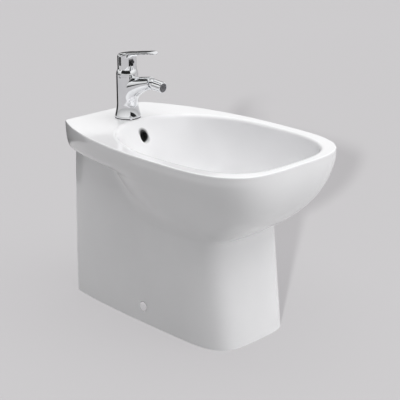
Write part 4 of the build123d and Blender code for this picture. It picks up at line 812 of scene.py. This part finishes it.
def floor():
    """Pale floor to the horizon: part paint, which takes the shadow, and part even tone for the view."""
    mesh = bpy.data.meshes.new("studio_floor")
    reach = 14.0
    mesh.from_pydata([(-reach, -reach, 0), (reach, -reach, 0), (reach, reach, 0), (-reach, reach, 0)],
                     [], [(0, 1, 2, 3)])
    material, tree, shader = finish("floor_paint")
    tinted(tree, shader, noise(tree, 0.4), (FLOOR_TONE, FLOOR_TONE, FLOOR_TONE), (FLOOR_TONE + 0.005,) * 3)
    set_values(shader, Roughness=0.9)
    shader.inputs["Specular IOR Level"].default_value = 0.0
    even = tree.nodes.new("ShaderNodeEmission")
    even.inputs["Color"].default_value = BACKGROUND
    path = tree.nodes.new("ShaderNodeLightPath")
    looked_at = path.outputs["Is Camera Ray"]
    for ray in ("Is Glossy Ray", "Is Transmission Ray"):
        either = tree.nodes.new("ShaderNodeMath")
        either.operation = "MAXIMUM"
        tree.links.new(looked_at, either.inputs[0])
        tree.links.new(path.outputs[ray], either.inputs[1])
        looked_at = either.outputs[0]
    part = tree.nodes.new("ShaderNodeMath")
    part.operation = "MULTIPLY"
    part.inputs[1].default_value = EVEN_SHARE
    tree.links.new(looked_at, part.inputs[0])
    surface = mixed(tree, part.outputs[0], shader.outputs["BSDF"], even.outputs["Emission"])
    tree.links.new(surface, tree.nodes["Material Output"].inputs["Surface"])
    mesh.materials.append(material)
    piece = bpy.data.objects.new("studio_floor", mesh)
    bpy.context.scene.collection.objects.link(piece)
    return piece


def card(name, tone, centre, start, end, radius, low, high):
    """Upright curved card that only reflections see: an arc about a centre between two compass directions."""
    turn = np.radians(np.linspace(start, end, 13))
    edge = np.stack([centre[0] + radius * np.sin(turn), centre[1] - radius * np.cos(turn)], axis=-1)
    points = [(*point, height) for height in (low, high) for point in edge]
    faces = [(i, i + 1, i + 14, i + 13) for i in range(12)]
    mesh = bpy.data.meshes.new(name)
    mesh.from_pydata(points, [], faces)
    material, tree, _ = finish(name)
    glow = tree.nodes.new("ShaderNodeEmission")
    glow.inputs["Strength"].default_value = tone
    tree.links.new(glow.outputs["Emission"], tree.nodes["Material Output"].inputs["Surface"])
    mesh.materials.append(material)
    piece = bpy.data.objects.new(name, mesh)
    piece.visible_camera = piece.visible_diffuse = piece.visible_shadow = piece.visible_transmission = False
    bpy.context.scene.collection.objects.link(piece)


def sun(name, strength, azimuth, elevation, angle):
    """Soft lamp far away, by its compass direction and height in degrees; reflections don't show it."""
    data = bpy.data.lights.new(name, "SUN")
    data.energy = strength * np.pi
    data.angle = angle
    turn, rise = np.radians(azimuth), np.radians(elevation)
    to_lamp = Vector((np.sin(turn) * np.cos(rise), -np.cos(turn) * np.cos(rise), np.sin(rise)))
    piece = bpy.data.objects.new(name, data)
    piece.rotation_mode = "QUATERNION"
    piece.rotation_quaternion = to_lamp.to_track_quat("Z", "Y")
    piece.visible_glossy = False
    bpy.context.scene.collection.objects.link(piece)
    return piece


def fill(name, power, place, toward, size):
    """Soft box near the floor that shines along a direction; only its light is seen."""
    data = bpy.data.lights.new(name, "AREA")
    data.energy = power
    data.size = size
    piece = bpy.data.objects.new(name, data)
    piece.location = place
    piece.rotation_mode = "QUATERNION"
    piece.rotation_quaternion = Vector(toward).to_track_quat("-Z", "Y")
    piece.visible_camera = piece.visible_glossy = False
    bpy.context.scene.collection.objects.link(piece)


def sky():
    """Even sky for soft light; reflections show a grey horizon and a bright ceiling instead."""
    world = bpy.data.worlds.new("studio_sky")
    bpy.context.scene.world = world
    world.use_nodes = True
    tree = world.node_tree
    even = tree.nodes["Background"]
    even.inputs["Color"].default_value = (1, 0.99, 1, 1)
    even.inputs["Strength"].default_value = SKY
    seen = tree.nodes.new("ShaderNodeBackground")
    place = tree.nodes.new("ShaderNodeTexCoord")
    parts = tree.nodes.new("ShaderNodeSeparateXYZ")
    ramp = tree.nodes.new("ShaderNodeValToRGB")
    marks = ramp.color_ramp.elements
    marks[0].position, marks[1].position = 0.0, 0.18
    marks[0].color, marks[1].color = (0.5, 0.5, 0.5, 1), (0.75, 0.75, 0.75, 1)
    top = marks.new(0.4)
    top.color = (1, 1, 1, 1)
    path = tree.nodes.new("ShaderNodeLightPath")
    tree.links.new(place.outputs["Generated"], parts.inputs[0])
    tree.links.new(parts.outputs["Z"], ramp.inputs["Fac"])
    tree.links.new(ramp.outputs["Color"], seen.inputs["Color"])
    surface = mixed(tree, path.outputs["Is Glossy Ray"], even.outputs[0], seen.outputs[0])
    tree.links.new(surface, tree.nodes["World Output"].inputs["Surface"])


BACKGROUND = (0.722, 0.700, 0.722, 1)
FLOOR_TONE = 0.22
EVEN_SHARE = 0.5
SKY = 0.33


def studio():
    """Even sky, a soft lamp overhead, a low one from the front right, and one that throws the floor's shadow."""
    sky()
    sun("overhead", 0.86, 15, 80, 1.3)
    sun("front", 0.31, 34, 4, 0.5)
    fill("low_fill", 3.6, (0.75, -1.15, 0.06), (-0.7, 1.05, 0.3), 0.8)
    ground = floor()
    thrower = sun("shadow_thrower", 3.4, -56, 17.5, 0.045)
    floor_only = bpy.data.collections.new("lit_floor")
    floor_only.objects.link(ground)
    thrower.light_linking.receiver_collection = floor_only
    mixer = (0, MIXER_Y * MM)
    card("dark_rear_card", 0.03, mixer, -245, -160, 0.9, 0.0, 0.56)
    card("dark_side_card", 0.02, mixer, -20, 40, 0.24, 0.442, 0.475)
    card("dark_high_card", 0.02, mixer, -110, -5, 0.24, 0.535, 0.74)
    card("dark_lever_card", 0.05, mixer, -150, -112, 0.24, 0.455, 0.49)
    card("dark_top_card", 0.04, mixer, -252, -195, 0.24, 0.50, 0.60)
    card("dark_rear_high_card", 0.05, mixer, -190, -130, 0.5, 0.70, 1.05)


# Camera at the photograph's view: a point at height 200 is seen at PIXEL, DISTANCE away along the view
AZIMUTH, ELEVATION, DISTANCE = np.radians(-45.21909908), np.radians(19.34564748), 2.39402320
FOCAL, PICTURE = 1150.0, 400.0
PIXEL = (194.76289064, 225.15198794)


def camera():
    """Camera from its direction, its distance and where it sees the point above the origin."""
    back = Vector((np.sin(AZIMUTH) * np.cos(ELEVATION), -np.cos(AZIMUTH) * np.cos(ELEVATION), np.sin(ELEVATION)))
    right = Vector((np.cos(AZIMUTH), np.sin(AZIMUTH), 0))
    up = back.cross(right)
    aside = (PIXEL[0] - PICTURE / 2) / FOCAL * DISTANCE
    down = (PIXEL[1] - PICTURE / 2) / FOCAL * DISTANCE
    data = bpy.data.cameras.new("camera")
    data.sensor_width = 36.0
    data.lens = FOCAL / PICTURE * data.sensor_width
    data.clip_end = 60.0
    piece = bpy.data.objects.new("camera", data)
    turn = Matrix((right, up, back)).transposed().to_4x4()
    piece.matrix_world = Matrix.Translation(Vector((0, 0, 0.2)) - right * aside + up * down + back * DISTANCE) @ turn
    bpy.context.scene.collection.objects.link(piece)
    bpy.context.scene.camera = piece


studio()
camera()
bpy.context.scene.view_settings.view_transform = "Standard"
